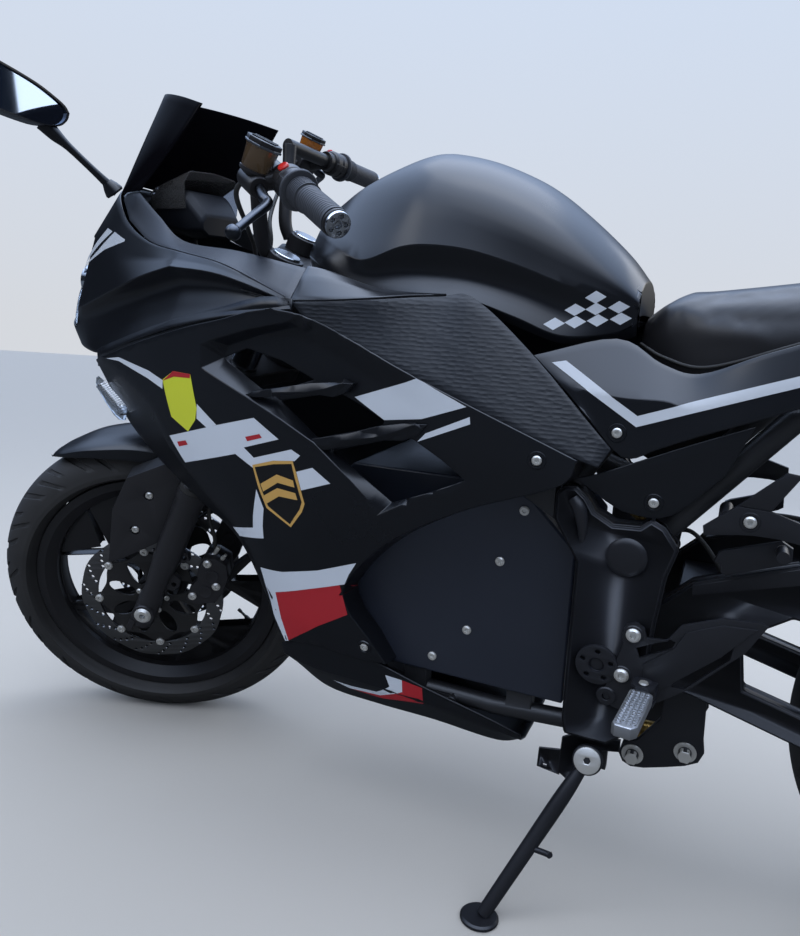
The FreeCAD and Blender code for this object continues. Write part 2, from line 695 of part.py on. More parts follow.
EYE_X, EYE_Z = 895, 216
SHOCK_X, SHOCK_Z = 872, 596
LINK_IN, LINK_OUT = 60, 70
shock_top, shock_eye = Vector(SHOCK_X, 0, SHOCK_Z), Vector(EYE_X, 0, EYE_Z)
shock = rod_shape(shock_eye, Vector(EYE_X - 9, 0, 400), 14)
eye_half = ACROSS * (LINK_IN - d.seat_gap)
shock = shock.fuse([rod_shape(Vector(EYE_X - 9, 0, 390), shock_top - UP * 14, 27),
                    rod_shape(shock_top - UP * 20, shock_top, 10),
                    rod_shape(shock_top - ACROSS * 24, shock_top + ACROSS * 24, 12),
                    rod_shape(shock_eye - eye_half, shock_eye + eye_half, 15)])
keep(feature("rear_shock", shock.removeSplitter()), "rear_shock")
links = []
for side in (LEFT, RIGHT):
    link = [(880, 200), (905, 196), (968, 220), (982, 250), (975, BRIDGE_LOW - d.seat_gap),
            (930, BRIDGE_LOW - d.seat_gap), (925, 262), (880, 240)]
    links.append(side_prism(side, link, LINK_IN, LINK_OUT))
    links.append(rod_shape(Vector(EYE_X, side * LINK_IN, EYE_Z), Vector(EYE_X, side * 84, EYE_Z), 9))
links.append(rod_shape(Vector(963, -84, 240), Vector(963, 84, 240), 9))
linkage = links[0].fuse(links[1:])
keep(feature("shock_linkage", linkage.removeSplitter()), "shock_linkage")


# Footpegs: a bracket with a heel guard on each pivot plate, carrying a ribbed peg.

pegs = []
BRACKET = [(866, 338), (884, 334), (925, 362), (959, 385), (1013, 445), (1032, 485), (939, 463), (902, 452),
           (882, 446), (880, 400)]
for name, side in SIDES:
    near = plate_outer + d.seat_gap
    bracket = side_prism(side, BRACKET, near, near + d.bracket_thick)
    start = sided(side, 908, near + d.bracket_thick - 2, 372)
    outward = sided(side, -10, 118, 4)
    outward.normalize()
    collar_end = start + outward * d.peg_collar
    peg_start = collar_end + outward
    pieces = [rod_shape(start, collar_end, d.peg_radius + 4),
              rod_shape(collar_end, peg_start, d.peg_radius - 1),
              rod_shape(peg_start, peg_start + outward * d.peg_length, d.peg_radius)]
    if side == RIGHT:
        pedal = [Vector(905, near + 7, 350), Vector(830, near + 14, 338), Vector(790, near + 44, 346)]
        pieces.append(pipe_shape(pedal, 6))
        pieces.append(rod_shape(Vector(905, near + 2, 350), Vector(905, near + 14, 350), 9))
    pegs.append(bracket.fuse(pieces).removeSplitter())
keep(feature("footpegs", Part.makeCompound(pegs)), "footpegs")


# Tank cover: a closed moulding, drawn as sections across the bike from front to rear.
# Each section: x, then ridge height, crease half width and height, side half width and height, floor height.

TANK = [
    (384, 968, 44, 952, 112, 884, 862),
    (430, 996, 62, 970, 140, 866, 850),
    (503, 1025, 92, 980, 149, 850, 836),
    (557, 1035, 112, 984, 150, 844, 832),
    (625, 1023, 118, 972, 150, 842, 830),
    (690, 996, 118, 948, 146, 806, 800),
    (750, 955, 112, 915, 132, 786, 780),
    (812, 903, 96, 872, 102, 800, 788),
    (842, 868, 84, 845, 86, 815, 800),
]
loops = []
for x, ridge, cy, cz, sy, sz, floor in TANK:
    half = [(0, ridge), (cy * 0.55, ridge - (ridge - cz) * 0.22), (cy, cz), (sy * 0.96, (cz + sz) / 2 + 6),
            (sy, sz + 8), (sy - 10, floor), (0, floor)]
    loops.append(centred_loop(x, half))
tank = keep(feature("tank_cover", moulding(blend(loops, 2))), "tank_cover")


# Nose cowl: a shell round the head. Its rows run from the screen down to the seam over the side
# fairing, its columns from the centre line out and back along the left side.

NOSE = points([
    [(-25, 0, 1005), (-15, -45, 998), (6, -84, 982), (45, -112, 940),
     (116, -142, 906), (205, -170, 890), (297, -195, 873), (408, -207, 832)],
    [(-95, 0, 925), (-88, -42, 922), (-66, -74, 915), (22, -122, 885),
     (117, -152, 880), (199, -180, 879), (298, -200, 866), (411, -209, 829)],
    [(-145, 0, 850), (-132, -50, 835), (-96, -90, 800), (36, -140, 831),
     (117, -165, 853), (197, -190, 869), (298, -205, 859), (413, -211, 826)],
    [(-173, 0, 785), (-158, -40, 780), (-112, -86, 765), (30, -146, 790),
     (117, -171, 805), (200, -195, 818), (300, -209, 822), (415, -212, 822)],
    [(-163, 0, 748), (-146, -40, 742), (-96, -86, 731), (-10, -130, 728),
     (90, -163, 755), (190, -192, 781), (300, -211, 802), (417, -214, 817)],
])


def whole_width(grid):
    """A grid from the right side over the centre line to the left, from its left half."""
    return [[Vector(p.x, -p.y, p.z) for p in reversed(row[1:])] + row for row in grid]


LAMP_ROWS = (1, 2)
LAMP_COLS = 2
full_nose = whole_width(NOSE)
middle = len(NOSE[0]) - 1
lamp_cells = [(r, c) for r in LAMP_ROWS for c in range(middle - LAMP_COLS, middle + LAMP_COLS)]
cowl = keep(feature("nose_cowl", panel(full_nose, d.panel_wall, open_cells=lamp_cells)), "nose_cowl")
lamp_grid = [row[middle - LAMP_COLS:middle + LAMP_COLS + 1] for row in full_nose[1:4]]
keep(feature("headlight", panel(lamp_grid, 4, inset=d.panel_wall + 0.8)), "headlight")


# Windscreen: one bubble-shaped sheet standing on the cowl's top edge.

SCREEN = points([
    [(49, 0, 1141), (62, -32, 1140), (95, -62, 1134), (142, -86, 1122), (192, -102, 1106)],
    [(14, 0, 1078), (24, -34, 1076), (50, -66, 1070), (92, -92, 1060), (138, -108, 1046)],
    [(-24, 0, 1006), (-13, -44, 999.5), (6, -80, 986.5), (26, -89, 986), (58, -94, 987)],
])
screen = settle(panel(blend(whole_width(SCREEN), 2), d.screen_wall), Vector(0, 0, -1), cowl.Shape)
keep(feature("windscreen", screen), "windscreen")


# Dash: the instrument housing under the screen, on the cowl's inner rim.

DASH = ((20, 50, 952, 988), (60, 74, 930, 1012), (120, 78, 915, 1004), (150, 60, 918, 960))
dash = moulding([[Vector(x, y, z) for y, z in ((-w, lo), (w, lo), (w, hi), (-w, hi))] for x, w, lo, hi in DASH])
dash_piece = keep(feature("dash_panel", dash), "dash_panel")


# Inner cowl panels: textured trims from the dash back to the tank, inside the nose cowl's edge.

INNER = points([
    [(24, -86, 984), (54, -92, 985), (112, -112, 946), (176, -131, 908), (284, -141, 894),
     (400, -150, 872)],
    [(14, -85, 975), (48, -109, 940), (116, -138, 906), (205, -166, 890), (297, -191, 873),
     (404, -203, 833)],
])
trims = [settle(panel(INNER, d.panel_wall, side=side), sided(side, 0, 1, -0.5), cowl.Shape)
         for name, side in SIDES]
keep(feature("cowl_inner_panels", Part.makeCompound(trims)), "cowl_inner_panels")


# Side fairings: rows run down from the cowl's seam, columns from the front flange to the rear edge.

FAIRING = points([
    [(-26, -127, 716), (145, -182, 765), (285, -209, 797),
     (417, -216, 815), (600, -213, 741), (804, -190, 656)],
    [(52, -140, 622), (150, -180, 665), (300, -213, 700),
     (440, -219, 700), (600, -212, 660), (784, -195, 622)],
    [(126, -150, 565), (203, -185, 610), (320, -212, 620),
     (440, -215, 620), (560, -208, 590), (665, -200, 574)],
    [(205, -150, 509), (240, -183, 555), (340, -205, 540),
     (430, -208, 525), (500, -202, 512), (559, -198, 511)],
    [(278, -150, 457), (298, -172, 467), (370, -190, 455),
     (430, -190, 445), (462, -188, 440), (490, -185, 433)],
    [(325, -150, 380), (345, -162, 385), (400, -175, 385),
     (440, -178, 388), (466, -178, 390), (491, -178, 392)],
    [(345, -150, 330), (356, -156, 345), (410, -168, 345),
     (455, -170, 348), (488, -170, 350), (518, -170, 353)],
    [(362, -145, 292), (368, -150, 302), (425, -155, 309),
     (470, -158, 308), (510, -160, 308), (547, -160, 310)],
])
fairings = {}
for name, side in SIDES:
    shell = panel(blend(FAIRING, 2), d.panel_wall, side=side)
    fairings[name] = keep(feature("side_fairing_" + name, shell), "side_fairing_" + name)


# Infill panels: between the tank's lower edge and the fairing's top edge.

INFILL = points([
    [(432, -204, 824), (509, -153.8, 847), (605, -153.8, 846),
     (650, -154, 840), (728, -156, 778), (838, -168, 670)],
    [(446, -206, 800), (493, -206, 778), (577, -203, 742),
     (671, -199, 706), (746, -192, 674), (826, -180, 648)],
])
infill = keep(both_sides("side_infill_panels", INFILL), "side_infill_panels")


# Belly pan: an open trough under the battery. Each section: x, then half width and height of its
# edge, crease and floor, and the keel's height.

PAN = [
    (350, 138, 288, 132, 268, 98, 240, 232),
    (413, 150.2, 312, 142, 262, 95, 206, 196),
    (500, 155.7, 313, 146, 262, 92, 198, 188),
    (600, 148, 282, 134, 248, 90, 196, 186),
    (701, 130, 247, 122, 228, 88, 190, 184),
    (744, 120, 228, 112, 216, 84, 204, 200),
]
pan_rows = []
for x, ey, ez, cy, cz, fy, fz, keel in PAN:
    half = [(ey, ez), (cy, cz), (fy, fz), (fy / 2, keel)]
    pan_rows.append(centred_loop(x, half + [(0, keel)]))
pan = keep(feature("belly_pan", panel(turn_grid(pan_rows), d.panel_wall)), "belly_pan")


# Cradle: a tube under each side of the battery, from the pivot plates to a front cross tube.

TUBE_Z = 262
CASE_FLOOR = 298
tubes = [rod_shape(Vector(470, -60, 268), Vector(470, 60, 268), d.cradle_radius)]
for name, side in SIDES:
    corner = sided(side, 470, 60, 268)
    tubes.append(Part.makeSphere(d.cradle_radius, corner))
    tubes.append(pipe_shape([corner, sided(side, 520, 108, TUBE_Z), sided(side, 700, 112, TUBE_Z),
                             sided(side, 806, 112, 270)], d.cradle_radius))
    low, high = sorted((side * 100, side * (d.plate_inner - d.seat_gap)))
    tubes.append(box_between(Vector(806, low, 258), Vector(850, high, 296)))
    low, high = sorted((side * 100, side * 122))
    for x in (560, 720):
        tubes.append(box_between(Vector(x, low, TUBE_Z), Vector(x + 36, high, CASE_FLOOR - d.seat_gap)))
    tubes.append(stay(sided(side, 640, 112, TUBE_Z), ACROSS * side, d.stay_radius, pan.Shape))
cradle = tubes[0].fuse(tubes[1:])
keep(feature("cradle_tubes", cradle.removeSplitter()), "cradle_tubes")


# Seats: padded blocks. Each section: x, top height, half width at the top, half width at the
# seam, seam height and the height of the base that lies on the rear frame.

def seat_blocks(table):
    loops = []
    for x, top, wide, seam_wide, seam, base in table:
        loops.append(centred_loop(x, [(0, top), (wide * 0.7, top - 3), (wide, top - 16), (seam_wide, seam),
                                      (seam_wide - 4, base), (0, base)]))
    return moulding(blend(loops, 2))


SEAT = [
    (846, 822, 62, 66, 790, 760),
    (880, 850, 84, 92, 774, 736),
    (931, 856, 104, 118, 768, 741),
    (1018, 868, 122, 136, 800, 750),
    (1110, 884, 118, 134, 836, 763),
    (1180, 904, 104, 118, 862, 787),
]
PILLION = [
    (1196, 930, 88, 92, 872, 792),
    (1250, 956, 98, 96, 884, 809),
    (1360, 968, 92, 86, 902, 838),
    (1470, 966, 66, 54, 914, 867),
]
keep(feature("rider_seat", seat_blocks(SEAT)), "rider_seat")
keep(feature("pillion_seat", seat_blocks(PILLION)), "pillion_seat")


# Tail covers: a panel each side from beside the tank to the tail light.

TAILS = points([
    [(730, -150, 774), (823, -112, 798), (880, -122, 772), (924, -134, 764), (985, -146, 790),
     (1040, -150, 812), (1140, -146, 856), (1230, -110, 902), (1380, -96, 932), (1500, -70, 930), (1590, -34, 922)],
    [(768, -160, 742), (838, -160, 732), (890, -160, 732), (924, -162, 728), (990, -162, 752),
     (1040, -162, 770), (1145, -150, 806), (1240, -128, 846), (1380, -104, 888), (1500, -74, 904), (1590, -38, 908)],
    [(800, -166, 712), (851, -168, 662), (890, -168, 676), (924, -168, 692), (993, -168, 721),
     (1040, -166, 740), (1150, -152, 770), (1250, -130, 800), (1380, -104, 844), (1500, -72, 876), (1590, -38, 892)],
])
tail_covers = keep(both_sides("tail_covers", TAILS), "tail_covers")


# Lower side covers, under the tail covers.

LOWER = points([
    [(806, -160, 622), (830, -163, 638), (924, -160, 684), (1003, -155, 714)],
    [(820, -157, 606), (850, -155, 590), (943, -152, 614), (1006, -150, 684)],
])
side_covers = keep(both_sides("side_covers", LOWER), "side_covers")


# Tail light: a slim lens closing the gap between the tail covers.

light = moulding([[Vector(x, y, z) for y, z in ((-w, lo), (w, lo), (w, hi), (-w, hi))]
                  for x, w, lo, hi in ((1560, 30, 888, 918), (1592, 32, 886, 920), (1612, 22, 894, 914))])
tail_light = keep(feature("tail_light", light), "tail_light")


# Rear mudguard: the tray under the tail with an arm that carries the blank number plate.

tray = moulding([[Vector(x, y, z) for y, z in ((-w, lo), (w, lo), (w, lo + 4), (-w, lo + 4))]
                 for x, w, lo in ((1120, 74, 716), (1260, 66, 760), (1420, 44, 824), (1500, 30, 836),
                                  (1570, 26, 866))])
hanger = moulding([[Vector(x, y, z) for x, y in ((a, -w), (b, -w), (b, w), (a, w))]
                   for z, w, a, b in ((862, 24, 1540, 1568), (760, 22, 1612, 1632), (690, 20, 1664, 1676),
                                      (600, 20, 1692, 1700))])
number_plate = Part.makeBox(3, d.plate_width, d.plate_height, Vector(1688, -d.plate_width / 2, 568))
number_plate.rotate(Vector(1688, 0, 640), ACROSS, -14)
mudguard = keep(feature("rear_mudguard", tray.fuse([hanger, number_plate]).removeSplitter()), "rear_mudguard")


# Main frame: the head tube, a beam down each side over the battery, and the cross members.

head_low = low_yoke + d.yoke_thick + d.seat_gap
head_high = high_yoke - d.seat_gap
head = Part.makeCylinder(d.head_radius, head_high - head_low, Vector(0, 0, head_low))
head.Placement = steering
head_bore = Part.makeCylinder(d.stem_radius + d.axle_clearance, head_high - head_low, Vector(0, 0, head_low))
head_bore.Placement = steering
head_middle = steering.multVec(Vector(0, 0, (head_low + head_high) / 2))
BEAMS = ((head_middle.x + 19, 8, head_middle.z + 7, 30, 70),
         (head_middle.x + 79, 60, head_middle.z - 23, 34, 66),
         (480, 106, 716, 34, 62), (640, 124, 670, 30, 58), (774 - d.seat_gap, 143, 598, 28, 56))
frame_solid = head
for name, side in SIDES:
    loops = []
    for x, y, z, wide, tall in BEAMS:
        loops.append([Vector(x, side * (y + s * wide / 2), z + t * tall / 2)
                      for s, t in ((-1, -1), (1, -1), (1, 1), (-1, 1))])
    frame_solid = frame_solid.fuse(moulding(loops))
CROSS_X, CROSS_Z = 500, 716
frame_solid = frame_solid.fuse(rod_shape(Vector(CROSS_X, -108, CROSS_Z), Vector(CROSS_X, 108, CROSS_Z), 14))

# The rear cross member has a lug that holds the shock's upper eye.
cross = Vector(752, 0, 640)
lug_way = shock_top - cross
lug_way.normalize()
lug_end = shock_top - lug_way * 12.6
frame_solid = frame_solid.fuse([rod_shape(cross - ACROSS * 132, cross + ACROSS * 132, 15),
                                rod_shape(cross, lug_end, 13)])

# A nose stay runs forward between the yokes to the cowl and carries the dash on its way.
nose_bend = steering.multVec(Vector(-150, 0, (head_low + head_high) / 2))
nose_way = Vector(-45, 0, 962) - nose_bend
dash_stay = stay(nose_bend + nose_way * 0.35, Vector(UP), d.stay_radius, dash_piece.Shape)
cowl_stay = stay(nose_bend, nose_way, d.stay_radius + 3, cowl.Shape)
nose_rod = rod_shape(head_middle, nose_bend, 11).fuse(Part.makeSphere(11, nose_bend))
frame_solid = frame_solid.fuse([nose_rod, dash_stay, cowl_stay])

# Stays to the body panels: each ends just short of its panel, where a screw holds it.
for name, side in SIDES:
    out = ACROSS * side
    for x, y, z in ((470, 104, 718), (640, 122, 662)):
        panel_stay = stay(Vector(x, side * y, z), Vector(out), d.stay_radius, fairings[name].Shape)
        frame_solid = frame_solid.fuse(panel_stay)
    infill_stay = stay(sided(side, 700, 130, 640), sided(side, 0, 0.4, 1), d.stay_radius, infill.Shape)
    tank_stay = stay(sided(side, CROSS_X, 70, CROSS_Z), Vector(UP), d.stay_radius + 3, tank.Shape)
    frame_solid = frame_solid.fuse([infill_stay, tank_stay])
frame_solid = frame_solid.cut(head_bore)
keep(feature("main_frame", frame_solid.removeSplitter()), "main_frame")


# Rear frame: a tube from the top of each pivot plate to the tail, an upper rail and cross tubes.

rails = []
TAIL = Vector(1500, 48, 858)
for name, side in SIDES:
    out = ACROSS * side
    start = sided(side, 907.8, 128, 571.4)
    rails.append(pipe_shape([start, sided(side, 1030, 120, 719), sided(side, 1240, 92, 790),
                             sided(side, TAIL.x, TAIL.y, TAIL.z)], d.frame_tube_radius))
    elbow = sided(side, 860, 114, 722)
    rails.append(rod_shape(elbow, sided(side, 1100, 100, 746), 11).fuse(Part.makeSphere(11, elbow)))
    rails.append(stay(elbow, sided(side, 792, 140, 612) - elbow, 11, plate_shape))
    rails.append(stay(sided(side, 945, 118, 634), Vector(out), d.stay_radius, side_covers.Shape))
    for x, y, z in ((1060, 112, 741), (1200, 97, 788)):
        rails.append(stay(sided(side, x, y, z), Vector(out), d.stay_radius, tail_covers.Shape))
rails.append(rod_shape(Vector(1240, -92, 790), Vector(1240, 92, 790), 11))
rails.append(rod_shape(Vector(TAIL.x, -TAIL.y, TAIL.z), TAIL, d.frame_tube_radius))
rails.append(stay(Vector(TAIL.x, 0, TAIL.z), Vector(0.9, 0, 0.5), d.stay_radius, tail_light.Shape))
for y in (-50, 50):
    rails.append(stay(Vector(1240, y, 790), Vector(0, 0, -1), d.stay_radius, mudguard.Shape))
subframe = rails[0].fuse(rails[1:])
keep(feature("rear_subframe", subframe.removeSplitter()), "rear_subframe")


# Rear and front indicators: small pods on stalks.

pods = []
for name, side in SIDES:
    pod_stalk = rod_shape(sided(side, 1634, 22, 742), sided(side, 1636, 86, 746), 6)
    pod = Part.makeCone(9, 17, 46, sided(side, 1626, 90, 748), Vector(1, 0, 0))
    pods.append(pod_stalk.fuse(pod).removeSplitter())
keep(feature("rear_indicators", Part.makeCompound(pods)), "rear_indicators")

LENS = [(-10, 691), (13, 683), (68, 650), (69, 644), (59, 623), (43, 622), (11, 650), (-16, 680)]
LENS_THICK = 12
lenses = []
for name, side in SIDES:
    foot = [sided(side, x, 150 + 0.34 * (x - 10) + 0.15 * (z - 670), z) for x, z in LENS]
    middle = sum(foot, Vector()) * (1 / len(foot))
    raised = sided(side, -0.32, 0.94, -0.14) * LENS_THICK
    crown = [point + (middle - point) * 0.18 + raised for point in foot]
    lenses.append(settle(moulding([foot, crown]), sided(side, 0, -1, 0), fairings[name].Shape))
keep(feature("front_indicators", Part.makeCompound(lenses)), "front_indicators")


# Mirrors: a stalk from the cowl beside the screen, bearing an oval head.

mirrors = []
for name, side in SIDES:
    bend = Vector(8, side * 122, 1004)
    head_at = Vector(-42, side * 236, 1086)
    foot = stay(bend, sided(side, 9.5, -25, -28.5), 7, cowl.Shape)
    stalk = foot.fuse([Part.makeSphere(7, bend), rod_shape(bend, head_at, 7)])
    corners = ((-70, -24), (60, -34), (74, 30), (-50, 36))
    shell = moulding([[head_at + sided(side, x, y * k, z * k) for y, z in corners]
                      for x, k in ((-26, 0.45), (-10, 0.9), (8, 1.0), (20, 0.94))])
    mirrors.append(stalk.fuse(shell).removeSplitter())
keep(feature("mirrors", Part.makeCompound(mirrors)), "mirrors")


# Side stand: its bracket hangs from the left pivot plate, its leg swings on a tilted pin.

stand_pivot = Vector(846, -158, 246)
foot_chassis = Vector(740, -258, 30)
down = (foot_chassis - stand_pivot)
down.normalize()
FOLDED = Vector(0.972, -0.03, -0.233)
stand_axis = FOLDED.cross(down)
stand_axis.normalize()
if stand_axis.y > 0:
    stand_axis = stand_axis * -1
base = stand_pivot - stand_axis * 22
bracket = rod_shape(base - stand_axis * 10, stand_pivot - stand_axis * 8.3, 19)
hang = box_between(Vector(822, -142, 226), Vector(868, -130, 276 - d.seat_gap))
stand_pin = rod_shape(stand_pivot - stand_axis * 9, stand_pivot + stand_axis * 9, d.stand_pin_radius)
bracket = bracket.fuse([hang, stand_pin,
                        rod_shape(stand_pivot + stand_axis * 8.3, stand_pivot + stand_axis * 12, 17)])
keep(feature("stand_bracket", bracket), "stand_bracket")

foot_ground = standing.multVec(foot_chassis)
pad = Part.makeCylinder(26, 7, Vector(foot_ground.x, foot_ground.y, 0))
pad.Placement = standing.inverse() * pad.Placement
eye = rod_shape(stand_pivot - stand_axis * 8, stand_pivot + stand_axis * 8, 20)
shoulder = stand_pivot + down * 60
leg = Part.makeCone(7.5, 11, 50, stand_pivot + down * 10, down)
leg = leg.fuse(rod_shape(shoulder, foot_chassis - down * 12, 11))
pin_room = rod_shape(stand_pivot - stand_axis * 30, stand_pivot + stand_axis * 30,
                     d.stand_pin_radius + d.axle_clearance)
stand = eye.fuse([leg, pad]).cut(pin_room)
keep(feature("side_stand", stand), "side_stand")


# Rear caliper on the right end of the swingarm.

rear_caliper = box_between(Vector(AXLE_X - 150, rear_disc_y - 20, AXLE_Z + 40),
                           Vector(AXLE_X - 76, beam_in - d.seat_gap, AXLE_Z + 98))
rear_slot = Part.makeCylinder(d.rear_disc_radius + 4, slot_width,
                              Vector(AXLE_X, rear_disc_y - slot_width / 2, AXLE_Z), ACROSS)
keep(feature("rear_caliper", rear_caliper.cut(rear_slot)), "rear_caliper")


# Placing: lean the bike, turn what steers, then centre its box on the origin.

doc.recompute()
for piece, at, steered in nodes:
    piece.Placement = standing * (turned if steered else Placement()) * at
doc.recompute()
boxes = [piece.Shape.optimalBoundingBox(True, False) for piece, at, steered in nodes]
shift = Vector(-(min(b.XMin for b in boxes) + max(b.XMax for b in boxes)) / 2,
               -(min(b.YMin for b in boxes) + max(b.YMax for b in boxes)) / 2,
               -min(b.ZMin for b in boxes))
for piece, at, steered in nodes:
    piece.Placement = Placement(shift, Rotation()) * piece.Placement
doc.recompute()

bad = [o.Name for o in doc.Objects if "Invalid" in o.State or "Error" in o.State]
for piece, at, steered in nodes:
    if piece.Shape.isNull() or not piece.Shape.isValid() or piece.Shape.Volume <= 0:
        bad.append(piece.Label)
if bad:
    raise RuntimeError("failed: " + ", ".join(bad))

os.makedirs("parts", exist_ok=True)
for piece, at, steered in nodes:
    piece.Shape.exportStep("parts/%s.step" % piece.Label)

to_row = Placement(shift, Rotation()) * standing
print("nodes", len(nodes), "pitch", round(pitch, 4), "lowest", round(shift.z, 4))
steering_way = Vector(math.sin(rake), 0, math.cos(rake))
front_row = to_row * turned
front_hub, rear_hub = Vector(0, 0, d.front_tyre_radius), Vector(d.wheelbase, 0, d.rear_tyre_radius)
print("steering point", to_row.multVec(Vector(-d.trail, 0, 0)), "axis", to_row.Rotation.multVec(steering_way))
print("front axle", front_row.multVec(front_hub), "axis", front_row.Rotation.multVec(ACROSS))
print("rear axle", to_row.multVec(rear_hub), "axis", to_row.Rotation.multVec(ACROSS))
print("stand pivot", to_row.multVec(stand_pivot), "axis", to_row.Rotation.multVec(stand_axis))
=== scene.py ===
"""An electric sport motorcycle, parked on its side stand: the finished model around its frame."""
import json
import math

import bmesh
import bpy
from mathutils import Matrix, Vector
from mathutils.bvhtree import BVHTree
from mathutils.geometry import delaunay_2d_cdt
from mathutils.kdtree import KDTree

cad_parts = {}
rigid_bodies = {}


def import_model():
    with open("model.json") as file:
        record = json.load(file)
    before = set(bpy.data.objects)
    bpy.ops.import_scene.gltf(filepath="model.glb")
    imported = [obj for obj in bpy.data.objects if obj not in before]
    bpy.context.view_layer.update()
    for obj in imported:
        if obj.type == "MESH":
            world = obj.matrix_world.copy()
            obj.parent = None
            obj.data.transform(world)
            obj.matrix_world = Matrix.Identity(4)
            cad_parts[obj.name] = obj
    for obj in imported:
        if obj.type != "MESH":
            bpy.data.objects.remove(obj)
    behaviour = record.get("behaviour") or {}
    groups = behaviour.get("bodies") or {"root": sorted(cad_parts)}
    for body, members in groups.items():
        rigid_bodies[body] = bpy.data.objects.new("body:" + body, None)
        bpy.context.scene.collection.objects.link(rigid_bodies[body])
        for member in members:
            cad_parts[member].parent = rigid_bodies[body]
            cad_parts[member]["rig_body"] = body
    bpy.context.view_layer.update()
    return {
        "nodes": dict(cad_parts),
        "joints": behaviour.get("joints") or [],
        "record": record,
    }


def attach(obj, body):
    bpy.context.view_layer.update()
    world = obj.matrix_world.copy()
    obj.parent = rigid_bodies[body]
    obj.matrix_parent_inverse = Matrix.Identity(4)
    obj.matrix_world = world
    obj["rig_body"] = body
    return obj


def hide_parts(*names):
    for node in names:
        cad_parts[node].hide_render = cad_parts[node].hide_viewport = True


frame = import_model()

# The bike's own upright frame, in millimetres: X runs rearward from the front axle, the left side is
# at -Y, Z is up. The steering and rear axle joints say how it leans and where it stands.
RAKE = math.radians(26)
TRAIL = 92
WHEELBASE = 1400
FRONT_RADIUS = 293
REAR_RADIUS = 314
AT_LOCK = math.radians(26)
MM = 0.001
LEFT, RIGHT = -1, 1
SIDES = (("left", LEFT), ("right", RIGHT))
BOTH = (LEFT, RIGHT)

joints = {joint["name"]: joint for joint in frame["joints"]}
steer_axis = Vector(joints["steering_turn"]["axis"]).normalized()
across = Vector(joints["rear_wheel_spin"]["axis"]).normalized()
sideways = steer_axis.cross(across)
rearward = math.sin(RAKE) * steer_axis - math.cos(RAKE) * sideways
upward = math.cos(RAKE) * steer_axis + math.sin(RAKE) * sideways
hub = Vector(joints["rear_wheel_spin"]["pos_m"])
start = hub - rearward * WHEELBASE * MM - upward * REAR_RADIUS * MM
bike_axes = Matrix((rearward, across, upward)).transposed().to_4x4()
BIKE = Matrix.Translation(start) @ bike_axes @ Matrix.Scale(MM, 4)
foot_of_axis = Matrix.Translation((-TRAIL, 0, 0))
lean_of_axis = foot_of_axis @ Matrix.Rotation(RAKE, 4, "Y")
STEERED = BIKE @ lean_of_axis @ Matrix.Rotation(AT_LOCK, 4, "Z") @ lean_of_axis.inverted()
FORK = STEERED @ lean_of_axis
ON_AXLE = Matrix.Rotation(math.radians(-90), 4, "X")
FRONT_WHEEL = STEERED @ Matrix.Translation((0, 0, FRONT_RADIUS)) @ ON_AXLE
REAR_WHEEL = BIKE @ Matrix.Translation((WHEELBASE, 0, REAR_RADIUS)) @ ON_AXLE
axle_in_fork = lean_of_axis.inverted() @ Vector((0, 0, FRONT_RADIUS))
LEG_X = axle_in_fork.x
AXLE_Z = axle_in_fork.z


# The camera stands at the left front of the bike, a little above the bars, as the photographer did.
EYE = Vector((965.7, -1069.7, 849.6))
YAW = math.radians(24.11)
PITCH = math.radians(13.55)
ROLL = math.radians(-1.89)
FOCAL_PIXELS = 747.5
PHOTO_HEIGHT = 936
SENSOR = 36

turn = BIKE.to_3x3() * (1 / MM)
ahead = Vector((-math.sin(YAW) * math.cos(PITCH), math.cos(YAW) * math.cos(PITCH), -math.sin(PITCH)))
right = Vector((math.cos(YAW), math.sin(YAW), 0))
roll = Matrix.Rotation(ROLL, 3, ahead)
right = roll @ right
aim = Matrix((turn @ right, turn @ right.cross(ahead), turn @ -ahead)).transposed()
camera = bpy.data.objects.new("camera", bpy.data.cameras.new("camera"))
bpy.context.collection.objects.link(camera)
camera.matrix_world = Matrix.Translation(BIKE @ EYE) @ aim.to_4x4()
camera.data.sensor_fit = "VERTICAL"
camera.data.sensor_height = SENSOR
camera.data.lens = FOCAL_PIXELS / PHOTO_HEIGHT * SENSOR
camera.data.clip_start = 0.05
bpy.context.scene.camera = camera
bpy.context.scene.view_settings.view_transform = "Standard"


# The studio: a pale floor and surround. Scattered light comes from all round, while reflections see
# a sky that is bright overhead and dim near the horizon, and a floor as dark as the photo's grass.
FLOOR_SIZE = 60
FLOOR_COLOUR = (0.70, 0.705, 0.71, 1)
GRASS_TONE = (0.06, 0.065, 0.07, 1)
SKY_COLOUR = (0.66, 0.78, 0.98, 1)
MIRRORED_SKY = (0.52, 0.68, 1.0, 1)
HAZE_COLOUR = (0.70, 0.725, 0.77, 1)
SEEN = 0.95
SCATTERED = 0.5
MIRRORED_LOW = 0.02
MIRRORED_HIGH = 3.6
HAZE_TOP = 0.02
SKY_FOOT = 0.6
MIRROR_FOOT = 0.3
MIRROR_TOP = 0.95
FLOOR_ROUGHNESS = 0.9


def node(tree, kind, inputs=(), **settings):
    """A node with its settings, each input linked to a socket or set to a value."""
    made = tree.nodes.new(kind)
    for key, value in settings.items():
        setattr(made, key, value)
    for key, value in dict(inputs).items():
        if isinstance(value, bpy.types.NodeSocket):
            tree.links.new(value, made.inputs[key])
        else:
            made.inputs[key].default_value = value
    return made


def material(name):
    """A new material, with its tree and the inputs of its shader."""
    stuff = bpy.data.materials.new(name)
    stuff.use_nodes = True
    return stuff, stuff.node_tree, stuff.node_tree.nodes["Principled BSDF"].inputs


